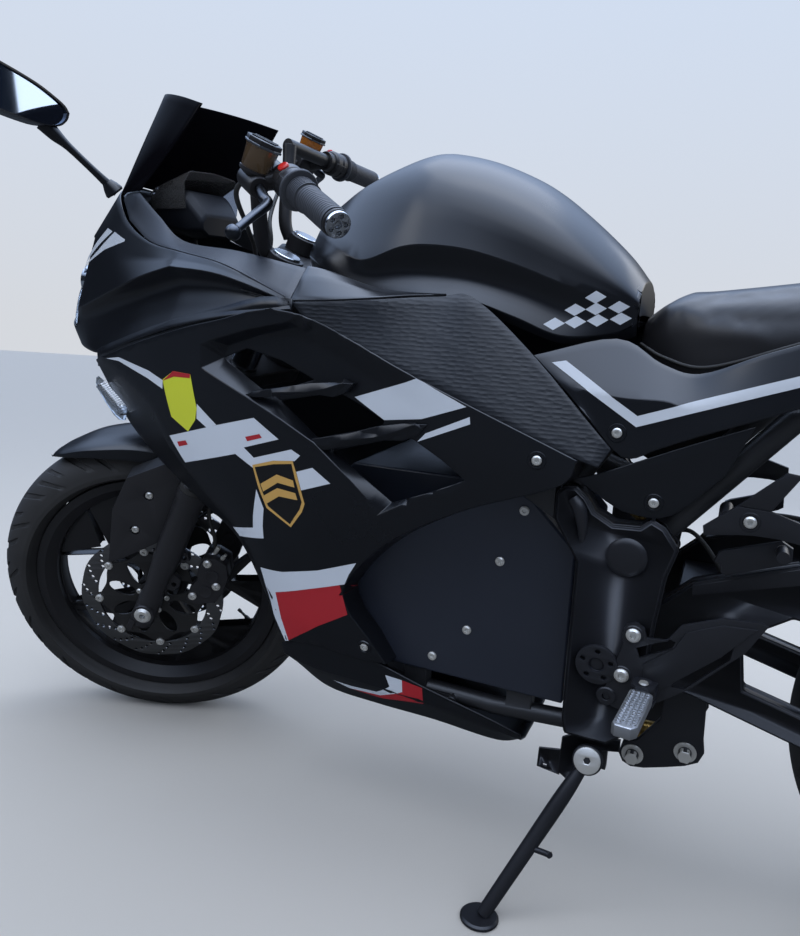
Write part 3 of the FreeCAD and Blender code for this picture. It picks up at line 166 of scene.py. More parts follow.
world = bpy.data.worlds.new("studio")
bpy.context.scene.world = world
world.use_nodes = True
tree = world.node_tree
background = tree.nodes["Background"].inputs
direction = node(tree, "ShaderNodeTexCoord").outputs["Generated"]
height = node(tree, "ShaderNodeSeparateXYZ", {0: direction}).outputs["Z"]
spread = node(tree, "ShaderNodeValToRGB", {"Fac": height})
haze, sky = spread.color_ramp.elements
haze.color, haze.position = HAZE_COLOUR, HAZE_TOP
sky.color, sky.position = SKY_COLOUR, SKY_FOOT
rays = node(tree, "ShaderNodeLightPath").outputs
glossy = rays["Is Glossy Ray"]
tint = node(tree, "ShaderNodeMix", {0: glossy, 6: spread.outputs["Color"], 7: MIRRORED_SKY},
            data_type="RGBA")
tree.links.new(tint.outputs[2], background["Color"])
mirrored = node(tree, "ShaderNodeMapRange", {"Value": height, "From Min": MIRROR_FOOT,
                                             "From Max": MIRROR_TOP, "To Min": MIRRORED_LOW,
                                             "To Max": MIRRORED_HIGH})
scattered = node(tree, "ShaderNodeMix", {0: glossy, 2: SCATTERED, 3: mirrored.outputs[0]})
straight = node(tree, "ShaderNodeMath", {0: rays["Is Camera Ray"], 1: rays["Is Transmission Ray"]},
                operation="MAXIMUM")
level = node(tree, "ShaderNodeMix", {0: straight.outputs[0], 2: scattered.outputs[0], 3: SEEN})
tree.links.new(level.outputs[0], background["Strength"])

half = FLOOR_SIZE / 2
floor_mesh = bpy.data.meshes.new("floor")
floor_mesh.from_pydata([(-half, -half, 0), (half, -half, 0), (half, half, 0), (-half, half, 0)], [],
                       [(0, 1, 2, 3)])
floor = bpy.data.objects.new("floor", floor_mesh)
bpy.context.collection.objects.link(floor)
floor_paint, tree, shader = material("floor")
glossy = node(tree, "ShaderNodeLightPath").outputs["Is Glossy Ray"]
floor_tone = node(tree, "ShaderNodeMix", {0: glossy, 6: FLOOR_COLOUR, 7: GRASS_TONE}, data_type="RGBA")
tree.links.new(floor_tone.outputs[2], shader["Base Color"])
shader["Roughness"].default_value = FLOOR_ROUGHNESS
floor_mesh.materials.append(floor_paint)

SUN_STRENGTH = 1.0
SUN_SPREAD = math.radians(70)
sun = bpy.data.lights.new("sun", "SUN")
sun.energy = SUN_STRENGTH
sun.angle = SUN_SPREAD
sun_holder = bpy.data.objects.new("sun", sun)
bpy.context.collection.objects.link(sun_holder)
sun_holder.rotation_euler = (math.radians(24), math.radians(12), 0)
SOFTBOXES = {
    "overhead": ((-0.2, 0.5, 3.2), (0, 0, 0.6), 2.2, 18),
    "left_front": ((-2.4, -2.4, 2.8), (-0.2, 0, 0.6), 1.4, 12),
    "right_rear": ((1.8, 3.0, 2.2), (0, 0, 0.7), 2.0, 20),
}
for name, (place, target, size, power) in SOFTBOXES.items():
    lamp = bpy.data.lights.new(name, "AREA")
    lamp.size = size
    lamp.energy = power
    holder = bpy.data.objects.new(name, lamp)
    bpy.context.collection.objects.link(holder)
    holder.location = place
    holder.rotation_euler = (Vector(target) - Vector(place)).to_track_quat("-Z", "Y").to_euler()


# The frame: steel tube and pressed beams welded up, the lower cradle and the rear frame, all in
# satin black paint. Each is the CAD piece with its facets joined and its edges broken.
FRAME_BLACK = (0.014, 0.015, 0.018)
COAT_ROUGHNESS = 0.12
DRIFT_SCALE = 9.0
SCUFF_SCALE = 160.0
GRAIN_HEIGHT = 0.0004
slot_of = {row["node"]: row["material_slot"] for row in frame["record"]["subparts"]}


def paint(name, colour, rough, metal=0.0, mottle=0.05, tone=1.5, grain=0.0, grain_mm=0.6, coat=0.0,
          scuff=0.0, gleam=0.5):
    """A finish: its colour drifts between two tones, its gloss is mottled by handling, and a fine
    grain stands up from it. Scuffs are brighter, rougher specks."""
    stuff, tree, shader = material(name)
    shader["Metallic"].default_value = metal
    shader["Specular IOR Level"].default_value = gleam
    shader["Coat Weight"].default_value = coat
    shader["Coat Roughness"].default_value = COAT_ROUGHNESS
    place = node(tree, "ShaderNodeTexCoord").outputs["Object"]
    broad = node(tree, "ShaderNodeTexNoise", {"Vector": place, "Scale": DRIFT_SCALE, "Detail": 5.0})
    light = (*[min(c * tone, 1) for c in colour], 1)
    shades = node(tree, "ShaderNodeMix", {0: broad.outputs["Fac"], 6: (*colour, 1), 7: light},
                  data_type="RGBA")
    tree.links.new(shades.outputs[2], shader["Base Color"])
    gloss = node(tree, "ShaderNodeMapRange", {"Value": broad.outputs["Fac"], "From Min": 0.3,
                                              "From Max": 0.7, "To Min": rough - mottle,
                                              "To Max": rough + mottle})
    result = gloss.outputs[0]
    if scuff:
        specks = node(tree, "ShaderNodeTexNoise", {"Vector": place, "Scale": SCUFF_SCALE, "Detail": 8.0,
                                                   "Roughness": 0.7})
        worn = node(tree, "ShaderNodeMapRange", {"Value": specks.outputs["Fac"], "From Min": 0.62,
                                                 "From Max": 0.75, "To Max": scuff})
        result = node(tree, "ShaderNodeMath", {0: result, 1: worn.outputs[0]}, operation="ADD").outputs[0]
    tree.links.new(result, shader["Roughness"])
    if grain:
        fine = node(tree, "ShaderNodeTexNoise", {"Vector": place, "Scale": 1 / (grain_mm * MM),
                                                 "Detail": 2.0})
        stand = node(tree, "ShaderNodeBump", {"Height": fine.outputs["Fac"], "Strength": grain,
                                              "Distance": GRAIN_HEIGHT})
        tree.links.new(stand.outputs[0], shader["Normal"])
    return stuff


def smooth(mesh, angle=32):
    """Round where the surface bends gently, crisp where it folds."""
    mesh.shade_smooth()
    mesh.set_sharp_from_angle(angle=math.radians(angle))


def break_edges(piece, width, angle=40, segments=2):
    """A small round along every edge that folds by more than the angle. The width is in mm."""
    edge = piece.modifiers.new("edges", "BEVEL")
    edge.width = width * MM
    edge.segments = segments
    edge.limit_method = "ANGLE"
    edge.angle_limit = math.radians(angle)
    edge.use_clamp_overlap = False


def machined(part, coat, edge=1.2):
    """The CAD piece with its facets joined, its round faces smooth and its edges broken."""
    source = frame["nodes"][part]
    solid = bmesh.new()
    solid.from_mesh(source.data)
    bmesh.ops.remove_doubles(solid, verts=solid.verts, dist=0.002 * MM)
    bmesh.ops.dissolve_limit(solid, angle_limit=math.radians(0.6), verts=solid.verts, edges=solid.edges)
    mesh = bpy.data.meshes.new(part + "_finished")
    solid.to_mesh(mesh)
    solid.free()
    smooth(mesh)
    piece = bpy.data.objects.new(part + "_finished", mesh)
    bpy.context.collection.objects.link(piece)
    mesh.materials.clear()
    mesh.materials.append(coat)
    if edge:
        break_edges(piece, edge)
    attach(piece, source["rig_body"])
    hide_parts(part)
    return piece


frame_paint = paint("frame_black", FRAME_BLACK, 0.42, mottle=0.06, grain=0.05, scuff=0.12)
for part in ("main_frame", "cradle_tubes", "rear_subframe", "stand_bracket"):
    machined(part, frame_paint, edge=1.0)


# Parts made here are drawn in millimetres in the bike's frame, or in that of the fork or a wheel,
# and a matrix then puts them where they belong.
def made(name, solid, coat, slot, place=BIKE, body="chassis", edge=0.0, angle=32):
    """A bmesh or a mesh as a finished piece on a body of the bike."""
    if isinstance(solid, bmesh.types.BMesh):
        mesh = bpy.data.meshes.new(name)
        bmesh.ops.recalc_face_normals(solid, faces=solid.faces)
        solid.to_mesh(mesh)
        solid.free()
    else:
        mesh = solid
        mesh.name = name
    mesh.transform(place)
    if place.determinant() < 0:
        mesh.flip_normals()
    smooth(mesh, angle)
    piece = bpy.data.objects.new(name, mesh)
    bpy.context.collection.objects.link(piece)
    if coat:
        mesh.materials.append(coat)
    if edge:
        break_edges(piece, edge)
    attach(piece, body)
    return piece


# Screws: zinc button heads with a socket, grown by one node tree in every size. They stand on points
# that carry the way each screw faces.
def screw_tree():
    """Nodes that stand a domed head with a sunk socket on each point."""
    tree = bpy.data.node_groups.new("screws", "GeometryNodeTree")
    for name, kind in (("Geometry", "NodeSocketGeometry"), ("Head radius", "NodeSocketFloat"),
                       ("Head height", "NodeSocketFloat"), ("Socket share", "NodeSocketFloat"),
                       ("Metal", "NodeSocketMaterial")):
        tree.interface.new_socket(name, in_out="INPUT", socket_type=kind)
    tree.interface.new_socket("Geometry", in_out="OUTPUT", socket_type="NodeSocketGeometry")
    given = tree.nodes.new("NodeGroupInput").outputs
    head = node(tree, "GeometryNodeMeshCylinder", {"Vertices": 24, "Radius": given["Head radius"],
                                                   "Depth": given["Head height"]})
    top = head.outputs["Top"]
    shape = head.outputs["Mesh"]
    rise, sink = (node(tree, "ShaderNodeMath", {0: given["Head height"], 1: share},
                       operation="MULTIPLY").outputs[0] for share in (0.4, -0.7))
    for lift, share in ((rise, 0.74), (0.0, given["Socket share"]), (sink, 0.96)):
        pulled = node(tree, "GeometryNodeExtrudeMesh", {"Mesh": shape, "Selection": top,
                                                        "Offset Scale": lift, "Individual": False})
        top = pulled.outputs["Top"]
        shape = node(tree, "GeometryNodeScaleElements", {"Geometry": pulled.outputs["Mesh"],
                                                         "Selection": top, "Scale": share}).outputs[0]
    way = node(tree, "GeometryNodeInputNamedAttribute", {"Name": "way"}, data_type="FLOAT_VECTOR")
    facing = node(tree, "FunctionNodeAlignRotationToVector", {"Vector": way.outputs[0]}, axis="Z")
    stood = node(tree, "GeometryNodeInstanceOnPoints", {"Points": given["Geometry"], "Instance": shape,
                                                        "Rotation": facing.outputs[0]})
    real = node(tree, "GeometryNodeRealizeInstances", {"Geometry": stood.outputs[0]})
    coated = node(tree, "GeometryNodeSetMaterial",
                  {"Geometry": real.outputs[0], "Material": given["Metal"]})
    node(tree, "NodeGroupOutput", {0: coated.outputs[0]})
    return tree


SCREWS = screw_tree()
ZINC = (0.62, 0.62, 0.60)
zinc = paint("zinc_plated", ZINC, 0.36, metal=0.6, mottle=0.08, tone=1.15, scuff=0.2)


def screws(name, spots, place=BIKE, body="chassis", radius=6.0, height=4.0, socket=0.55):
    """Screws on a list of (place, way) spots, as one plain mesh on a body."""
    mesh = bpy.data.meshes.new(name)
    mesh.from_pydata([tuple(at) for at, way in spots], [], [])
    mesh.attributes.new("way", "FLOAT_VECTOR", "POINT")
    for row, (at, way) in zip(mesh.attributes["way"].data, spots):
        row.vector = Vector(way).normalized()
    holder = bpy.data.objects.new(name, mesh)
    bpy.context.collection.objects.link(holder)
    grower = holder.modifiers.new("grow", "NODES")
    grower.node_group = SCREWS
    values = {"Head radius": radius, "Head height": height, "Socket share": socket, "Metal": zinc}
    for item in SCREWS.interface.items_tree:
        if item.in_out == "INPUT" and item.name in values:
            grower[item.identifier] = values[item.name]
    result = bpy.data.meshes.new_from_object(holder.evaluated_get(bpy.context.evaluated_depsgraph_get()))
    bpy.data.objects.remove(holder)
    return made(name, result, None, "steel", place, body)


# The battery case: a folded sheet-steel box in dark blue-black paint, closed by a flat side cover
# that is screwed on near its corners, with a rolled seam along its lower edge.
CASE_BLUE_BLACK = (0.016, 0.020, 0.032)
COVER_OUT = 127.5
case_paint = paint("battery_case_paint", CASE_BLUE_BLACK, 0.33, mottle=0.05, tone=1.4, grain=0.05,
                   scuff=0.15)
machined("battery_case", case_paint, edge=3.0)
CASE_SCREWS = ((728, 566), (699, 489), (657, 377), (606, 324))
for name, side in SIDES:
    spots = [((x, side * COVER_OUT, z), (0, side, 0)) for x, z in CASE_SCREWS]
    screws("battery_screws_" + name, spots, radius=6.5, height=3.0)


# Tyres: tubeless sport radials, matt black rubber with a round crown. Swept grooves are moulded into
# the tread, staggered from side to side, and a raised band and a fine line run round each sidewall.
RUBBER = (0.018, 0.018, 0.019)
PITCHES = 15
GROOVE_DEPTH = 3.2
GROOVE_WALL = 0.035
FLANK_SHARE = 0.84
# Each groove: where it starts in the pitch, half its width, and how far out it begins and ends, in
# degrees from the middle of the tread.
GROOVES = ((0.10, 0.050, 10, 66), (0.42, 0.042, 30, 76), (0.70, 0.036, 18, 52))
RUN_OUT = 8
SWEEP = 0.34
SIDE_DEGREES = 74
BAND_DEGREES = (81, 84)
BAND_HEIGHT = 0.6


def centre(begin, side):
    """Where a groove's middle lies in its pitch: the right side's are half a pitch on."""
    return (begin + (0.5 if side == RIGHT else 0)) % 1


def tyre(name, radius, width, rim_half, place, body):
    """A tyre about its axle, with its tread and side marks, one pitch of the tread after another."""
    crown = width / 2
    ring = radius - crown
    marks = []
    for side in BOTH:
        for begin, wide, near, far in GROOVES:
            shifts = (-wide - GROOVE_WALL / 2, -wide, wide, wide + GROOVE_WALL / 2)
            marks += [centre(begin, side) + shift for shift in shifts]
    columns = sorted({round(mark % 1, 4) for mark in marks} | {i / 12 for i in range(12)})

    def depth(along, degrees):
        """How deep the tread is cut at a share of the pitch and an angle from its middle."""
        side = RIGHT if degrees > 0 else LEFT
        for begin, wide, near, far in GROOVES:
            off = abs((along - centre(begin, side) + 0.5) % 1 - 0.5)
            if off < wide + 1e-3 and near < abs(degrees) < far:
                return GROOVE_DEPTH * min((abs(degrees) - near) / RUN_OUT,
                                          (far - abs(degrees)) / RUN_OUT, 1)
        return 0

    solid = bmesh.new()
    section = [(226.8, -rim_half + 1, None), (228, -rim_half - 2, None),
               (ring - 5, -crown * FLANK_SHARE, None)]
    section += [(ring + crown * math.cos(math.radians(a)), crown * math.sin(math.radians(a)), a)
                for a in range(-90, 91, 3)]
    section += [(r, -y, None) for r, y, a in section[2::-1]]
    rings = []
    for pitch in range(PITCHES):
        for along in columns:
            loop = []
            for r, y, degrees in section:
                sweep = 0
                if degrees is not None:
                    out_share = min(abs(degrees), SIDE_DEGREES) / SIDE_DEGREES
                    sweep = out_share ** 1.4 * SWEEP / PITCHES * 2 * math.pi * 1.6
                    cut_in = depth(along, degrees)
                    if abs(degrees) in BAND_DEGREES:
                        cut_in = -BAND_HEIGHT
                    r -= cut_in * math.cos(math.radians(degrees))
                    y -= cut_in * math.sin(math.radians(degrees))
                turn_by = 2 * math.pi * (pitch + along) / PITCHES + sweep
                loop.append(solid.verts.new((r * math.cos(turn_by), r * math.sin(turn_by), y)))
            rings.append(loop)
    for a, b in zip(rings, rings[1:] + rings[:1]):
        for i in range(len(a)):
            j = (i + 1) % len(a)
            solid.faces.new((a[i], b[i], b[j], a[j]))
    piece = made(name + "_moulded", solid, rubber, "tyre", place, body, angle=40)
    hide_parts(name)


rubber = paint("tyre_rubber", RUBBER, 0.62, mottle=0.08, tone=1.7, grain=0.25, grain_mm=0.9, scuff=0.2)
tyre("front_tyre", FRONT_RADIUS, 110, 33, FRONT_WHEEL, "front_wheel")
tyre("rear_tyre", REAR_RADIUS, 140, 46, REAR_WHEEL, "rear_wheel")


# Wheels: cast aluminium in satin black with five thin forked spokes, each with a rubber valve; the
# rear one is cast round the hub motor, whose covers are held by a ring of screws.
WHEEL_BLACK = (0.012, 0.012, 0.014)
wheel_paint = paint("wheel_black", WHEEL_BLACK, 0.34, mottle=0.05, grain=0.08, scuff=0.1)
FLANGE_RADIUS = 226
BARREL_DROP = 27
BARREL_WALL = 5
WEB_WIDTH = 22
SPOKES = 5


def circle(x, y, radius, count=24, start=0.0):
    """A closed outline round a point."""
    return [(x + radius * math.cos(start + 2 * math.pi * i / count),
             y + radius * math.sin(start + 2 * math.pi * i / count)) for i in range(count)]


def plate(outlines, thick, edge=0.6):
    """A flat plate about its own XY plane: the first outline is its rim, the others are holes."""
    sheet = bpy.data.curves.new("plate", "CURVE")
    sheet.dimensions = "2D"
    sheet.fill_mode = "BOTH"
    sheet.extrude = thick / 2 - edge
    sheet.bevel_depth = edge
    sheet.bevel_resolution = 1
    sheet.offset = -edge
    for outline in outlines:
        line = sheet.splines.new("POLY")
        line.points.add(len(outline) - 1)
        for point, (x, y) in zip(line.points, outline):
            point.co = (x, y, 0, 1)
        line.use_cyclic_u = True
    holder = bpy.data.objects.new("plate", sheet)
    bpy.context.collection.objects.link(holder)
    mesh = bpy.data.meshes.new_from_object(holder.evaluated_get(bpy.context.evaluated_depsgraph_get()))
    bpy.data.objects.remove(holder)
    bpy.data.curves.remove(sheet)
    solid = bmesh.new()
    solid.from_mesh(mesh)
    bmesh.ops.remove_doubles(solid, verts=solid.verts, dist=0.001)
    bpy.data.meshes.remove(mesh)
    return solid


def turned(profile, count=48, closed=False):
    """A solid of revolution about Z from (radius, height) points; where the radius is 0 it closes."""
    solid = bmesh.new()
    rings = []
    for radius, z in profile:
        if radius < 1e-6:
            rings.append([solid.verts.new((0, 0, z))])
        else:
            rings.append([solid.verts.new((radius * math.cos(2 * math.pi * i / count),
                                           radius * math.sin(2 * math.pi * i / count), z))
                          for i in range(count)])
    pairs = list(zip(rings, rings[1:])) + ([(rings[-1], rings[0])] if closed else [])
    for a, b in pairs:
        for i in range(count):
            j = (i + 1) % count
            corners = [a[i % len(a)], a[j % len(a)], b[j % len(b)], b[i % len(b)]]
            solid.faces.new(list(dict.fromkeys(corners)))
    return solid


def spot(place, way):
    """A matrix that stands a turned piece at a place with its Z along a direction."""
    return Matrix.Translation(place) @ Vector(way).to_track_quat("Z", "Y").to_matrix().to_4x4()


def gather(solids):
    """Several bmeshes as one. A solid comes alone, or as a pair with the matrix that moves it."""
    whole = bmesh.new()
    for part in solids:
        solid, place = part if isinstance(part, tuple) else (part, Matrix())
        mesh = bpy.data.meshes.new("part")
        bmesh.ops.recalc_face_normals(solid, faces=solid.faces)
        bmesh.ops.transform(solid, matrix=place, verts=solid.verts)
        if place.determinant() < 0:
            bmesh.ops.reverse_faces(solid, faces=solid.faces)
        solid.to_mesh(mesh)
        solid.free()
        whole.from_mesh(mesh)
        bpy.data.meshes.remove(mesh)
    return whole


def spoke_windows(inner, outer):
    """Openings between forked spokes: a large one between two spokes, a small one in each fork."""
    step = 2 * math.pi / SPOKES
    stem, arm, fork, tip = 9, 6.5, inner + (outer - inner) * 0.5, 2 * math.pi / SPOKES * 0.24
    windows = []
    for i in range(SPOKES):
        large = [(inner, stem / inner), (fork, stem / fork + 0.05)]
        large += [(outer, tip + arm / outer + (step - 2 * tip - 2 * arm / outer) * k / 8)
                  for k in range(9)]
        large += [(fork, step - stem / fork - 0.05), (inner, step - stem / inner)]
        large += [(inner, step - stem / inner - (step - 2 * stem / inner) * k / 5) for k in range(1, 5)]
        small = [(fork + 14, 0)] + [(outer, (tip - arm / outer) * (1 - k / 3)) for k in range(7)]
        windows += [[(r * math.cos(a + i * step), r * math.sin(a + i * step)) for r, a in line]
                    for line in (large, small)]
    return windows


def rim(name, width, bore, hub_radius, hub_width, place, body):
    """A cast wheel: a flanged barrel, a spoked web and a hub tube, about its axle."""
    out, seat, drop = width / 2, FLANGE_RADIUS - 10, FLANGE_RADIUS - BARREL_DROP
    inside = drop - BARREL_WALL
    section = [(inside, -WEB_WIDTH / 2), (inside, BARREL_WALL - out + 10), (seat - BARREL_WALL, -out),
               (FLANGE_RADIUS - 1, -out), (FLANGE_RADIUS, 1 - out), (FLANGE_RADIUS, BARREL_WALL - out),
               (seat, BARREL_WALL - out), (seat, 24 - out), (drop, 32 - out)]
    barrel = turned(section + [(r, -y) for r, y in reversed(section)], 96, closed=True)
    web = plate([circle(0, 0, inside + 2, 96), circle(0, 0, hub_radius - 2, 48)]
                + spoke_windows(hub_radius + 12, inside - 4), WEB_WIDTH, 3)
    half = hub_width / 2
    hub_tube = turned([(bore, -half), (hub_radius - 2, -half), (hub_radius, 2 - half),
                       (hub_radius, half - 2), (hub_radius - 2, half), (bore, half)], 48, closed=True)
    piece = made(name + "_cast", gather([barrel, web, hub_tube]),
                 wheel_paint, slot_of[name], place, body, angle=30)
    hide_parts(name)


rim("front_rim", 76, 9.1, 36, 116, FRONT_WHEEL, "front_wheel")
rim("rear_rim", 102, 122.3, 134, 60, REAR_WHEEL, "rear_wheel")
motor_paint = paint("motor_black", (0.016, 0.016, 0.018), 0.45, grain=0.2, grain_mm=1.2)
machined("hub_motor", motor_paint, edge=1.5)
COVER_SCREW_RADIUS = 84
VALVE_FOOT, VALVE_WAY = (192, 0, 14), (-0.9, 0, 0.42)
for name, side in SIDES:
    ring = [((x, y, side * 52.5), (0, 0, side)) for x, y in circle(0, 0, COVER_SCREW_RADIUS, 10)]
    screws("motor_screws_" + name, ring, REAR_WHEEL, "rear_wheel", radius=5, height=3.5)
for name, place, body in (("front", FRONT_WHEEL, "front_wheel"), ("rear", REAR_WHEEL, "rear_wheel")):
    valve = turned([(0, 0), (4, 0), (4.2, 14), (2.6, 17), (2.6, 28), (3.4, 29), (3.4, 36), (0, 36.6)], 14)
    lean_in = Matrix.Rotation(math.radians(36), 4, "Z") @ spot(VALVE_FOOT, VALVE_WAY)
    made(name + "_valve", valve, rubber, "tyre", place @ lean_in, body)


# Brake discs: ground steel rings, cross-drilled, riding on black carriers by steel bobbins. The
# rear one sits on the right of the hub motor.
DISC_RADIUS = 131
DISC_OFFSET = 67
REAR_DISC_RADIUS = 110
REAR_DISC_OFFSET = 74
disc_steel = paint("disc_steel", (0.30, 0.29, 0.285), 0.34, metal=1.0, mottle=0.1, tone=1.25, grain=0.1,
                   grain_mm=0.3, scuff=0.25)
carrier_paint = paint("carrier_black", (0.015, 0.015, 0.016), 0.4, grain=0.1)


def disc(name, radius, band, hub, offset, out, groups, place, body):
    """A drilled rotor on its carrier, with bobbins and hub screws on the side that faces out."""
    holes = []
    for i in range(groups):
        begin = 2 * math.pi * i / groups
        for k, share in enumerate((0.18, 0.42, 0.66, 0.86)):
            r = radius - band + band * share
            angle = begin + 0.075 * k
            holes.append(circle(r * math.cos(angle), r * math.sin(angle), 3.2, 12))
    wave = [((radius - 1 + math.cos(10 * a)) * math.cos(a),
             (radius - 1 + math.cos(10 * a)) * math.sin(a))
            for a in (2 * math.pi * i / 160 for i in range(160))]
    rotor = plate([wave, circle(0, 0, radius - band, 96)] + holes, 4, edge=0.3)
    seat = radius - band - 3
    lobes = [((seat - 5 + 5 * math.cos(8 * a)) * math.cos(a),
              (seat - 5 + 5 * math.cos(8 * a)) * math.sin(a))
             for a in (2 * math.pi * i / 128 for i in range(128))]
    ovals = []
    for i in range(8):
        middle = 2 * math.pi * (i + 0.5) / 8
        reach = (hub + 10 + seat - 14) / 2
        long, short = (seat - hub - 26) / 2, reach * 0.23
        ovals.append([(reach * math.cos(middle) + long * math.cos(a) * math.cos(middle)
                       - short * math.sin(a) * math.sin(middle),
                       reach * math.sin(middle) + long * math.cos(a) * math.sin(middle)
                       + short * math.sin(a) * math.cos(middle))
                      for a in (2 * math.pi * k / 20 for k in range(20))])
    carrier = plate([lobes, circle(0, 0, hub, 40)] + ovals, 3.4, edge=0.4)
    at = place @ Matrix.Translation((0, 0, offset))
    rotor_piece = made(name + "_rotor", rotor, disc_steel, "steel", at, body)
    made(name + "_carrier", carrier, carrier_paint, "steel", at, body)
    bobbins = [((x, y, out * 1.4), (0, 0, out)) for x, y in circle(0, 0, seat + 1.5, 8)]
    screws(name + "_bobbins", bobbins, at, body, radius=7.5, height=4, socket=0.5)
    hub_screws = [((x, y, out * 1.6), (0, 0, out)) for x, y in circle(0, 0, hub + 7, 5)]
    screws(name + "_hub_screws", hub_screws, at, body, radius=5, height=4)
    return rotor_piece


for name, side in SIDES:
    rotor_piece = disc("front_disc_" + name, DISC_RADIUS, 31, 20, side * DISC_OFFSET, side, 18,
                       FRONT_WHEEL, "front_wheel")
    sleeve = turned([(20, 58.3), (30, 58.3), (30, DISC_OFFSET - 1.7), (20, DISC_OFFSET - 1.7)], 40,
                    closed=True)
    made("front_disc_sleeve_" + name, sleeve, carrier_paint, "steel",
         FRONT_WHEEL @ Matrix.Scale(side, 4, (0, 0, 1)), "front_wheel")
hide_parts("front_discs")
rotor_piece = disc("rear_disc", REAR_DISC_RADIUS, 32, 26, REAR_DISC_OFFSET, 1, 16,
                   REAR_WHEEL, "rear_wheel")
sleeve = turned([(26, 64.3), (38, 64.3), (38, 72.3), (26, 72.3)], 40, closed=True)
made("rear_disc_sleeve", sleeve, carrier_paint, "steel", REAR_WHEEL, "rear_wheel")
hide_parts("rear_disc")


# Axles: round steel bars through the hubs, bare and lightly scuffed. Each is the CAD piece with its
# edges broken.
axle_steel = paint("axle_steel", (0.45, 0.45, 0.46), 0.28, metal=1.0, mottle=0.06, tone=1.2, scuff=0.2)
machined("front_axle", axle_steel, edge=0.5)
machined("rear_axle", axle_steel, edge=0.5)


# Fork: cast black lower legs with an axle clamp, chromed tubes in dust seals, and two cast yokes with
# the stem's nut on top.
CHROME = (0.60, 0.61, 0.63)
LEG_Y = 100
SLIDER_TOP = 265
LUGS = (([(8, 50), (30, 52), (38, 66), (36, 80), (10, 92)], (28, 66)),
        ([(8, 112), (30, 116), (38, 126), (30, 138), (8, 140)], (27, 127)))
TUBE_TOP = 690
leg_paint = paint("fork_leg_black", (0.016, 0.016, 0.019), 0.35, mottle=0.05, grain=0.1, scuff=0.1)
tube_chrome = paint("fork_chrome", CHROME, 0.16, metal=1.0, mottle=0.05, tone=1.1)
seal_rubber = paint("seal_rubber", (0.02, 0.02, 0.02), 0.6, grain=0.15)


def upright(y):
    """Stands a flat plate up along the bike: its X runs rearward, its Y up, its middle at y."""
    return Matrix.Translation((0, y, 0)) @ Matrix.Rotation(math.radians(90), 4, "X")


for name, side in SIDES:
    at = FORK @ Matrix.Translation((LEG_X, side * LEG_Y, AXLE_Z))
    leg = turned([(0, -34), (15, -34), (19, -31), (21, -24), (21, 24), (18.5, 40), (18.5, 60), (21, 90),
                  (24, 120), (24, SLIDER_TOP - 22), (26, SLIDER_TOP - 18), (26, SLIDER_TOP),
                  (21, SLIDER_TOP)], 40)
    collar = turned([(20.6, SLIDER_TOP), (25, SLIDER_TOP), (24, SLIDER_TOP + 8), (20.6, SLIDER_TOP + 9)],
                    40, closed=True)
    boss = turned([(9.4, -24), (19, -24), (20, -22), (20, 22), (19, 24), (9.4, 24)], 32, closed=True)
    lugs = gather([(plate([outline, circle(*hole, 4.4, 16)], 12, 1.2), upright(-side * 10))
                   for outline, hole in LUGS])
    clamp = gather([(plate([[(-20, -40), (-9, -42), (-8, -20), (-19, -18)]], 44, 1.5), upright(0))])
    body = gather([leg, (boss, upright(0)), lugs, clamp])
    leg_piece = made("fork_lower_" + name, body, leg_paint, "fork_black", at, "steering")
    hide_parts("fork_leg_" + name)
    made("fork_seal_" + name, collar, seal_rubber, "fork_black", at, "steering")
    stanchion = turned([(0, SLIDER_TOP - 20), (20.5, SLIDER_TOP - 20), (20.5, TUBE_TOP - 1),
                        (19.5, TUBE_TOP), (0, TUBE_TOP)], 48)
    made("fork_tube_" + name, stanchion, tube_chrome, "fork_black", at, "steering")
    screws("fork_screws_" + name, [((-14, side * -24, -30), (0, -side, 0))], at, "steering", radius=4.5)
    screws("axle_end_" + name, [((0, side * 19, 0), (0, side, 0))], at, "steering", radius=15, height=10,
           socket=0.5)
machined("fork_yokes", frame_paint, edge=2.0)
YOKE_TOP = AXLE_Z + 660
cap = turned([(0, 0), (18, 0), (18, 3), (13, 4), (13, 9), (11, 10), (7, 10), (7, 6), (0, 6)], 6)
made("stem_nut", cap, zinc, "steel", FORK @ Matrix.Translation((0, 0, YOKE_TOP)), "steering", edge=0.5)


# Front calipers: black cast blocks of two halves that straddle each disc, with round piston caps,
# joining screws and a bleed nipple. A hose runs from each up its leg.
CALIPER = [(58, 42), (78, 40), (108, 58), (114, 84), (112, 118), (100, 142), (76, 147), (58, 140),
           (56, 112), (62, 92), (56, 70)]
BRIDGE = [(103, 88), (112, 92), (111, 117), (99, 140), (76, 145), (60, 138), (58, 124), (72, 115),
          (86, 105), (96, 96)]


def rod(radius, low, high, count):
    """A plain round bar about Z, closed at both ends."""
    return turned([(0, low), (radius, low), (radius, high), (0, high)], count)


def curve_through(points, steps, corners=()):
    """Points on a smooth curve through the given ones; it may bend sharply at the corners."""
    out = []
    last = len(points) - 1
    for i in range(last):
        a, b = points[i], points[i + 1]
        before = points[i - 1] if i and i not in corners else a * 2 - b
        after = points[i + 2] if i + 1 < last and i + 1 not in corners else b * 2 - a
        for k in range(steps):
            u = k / steps
            out.append((before * (-u + 2 * u ** 2 - u ** 3) + a * (2 - 5 * u ** 2 + 3 * u ** 3) + b
                        * (u + 4 * u ** 2 - 3 * u ** 3) + after * (u ** 3 - u ** 2)) * 0.5)
    out.append(points[-1])
    return out


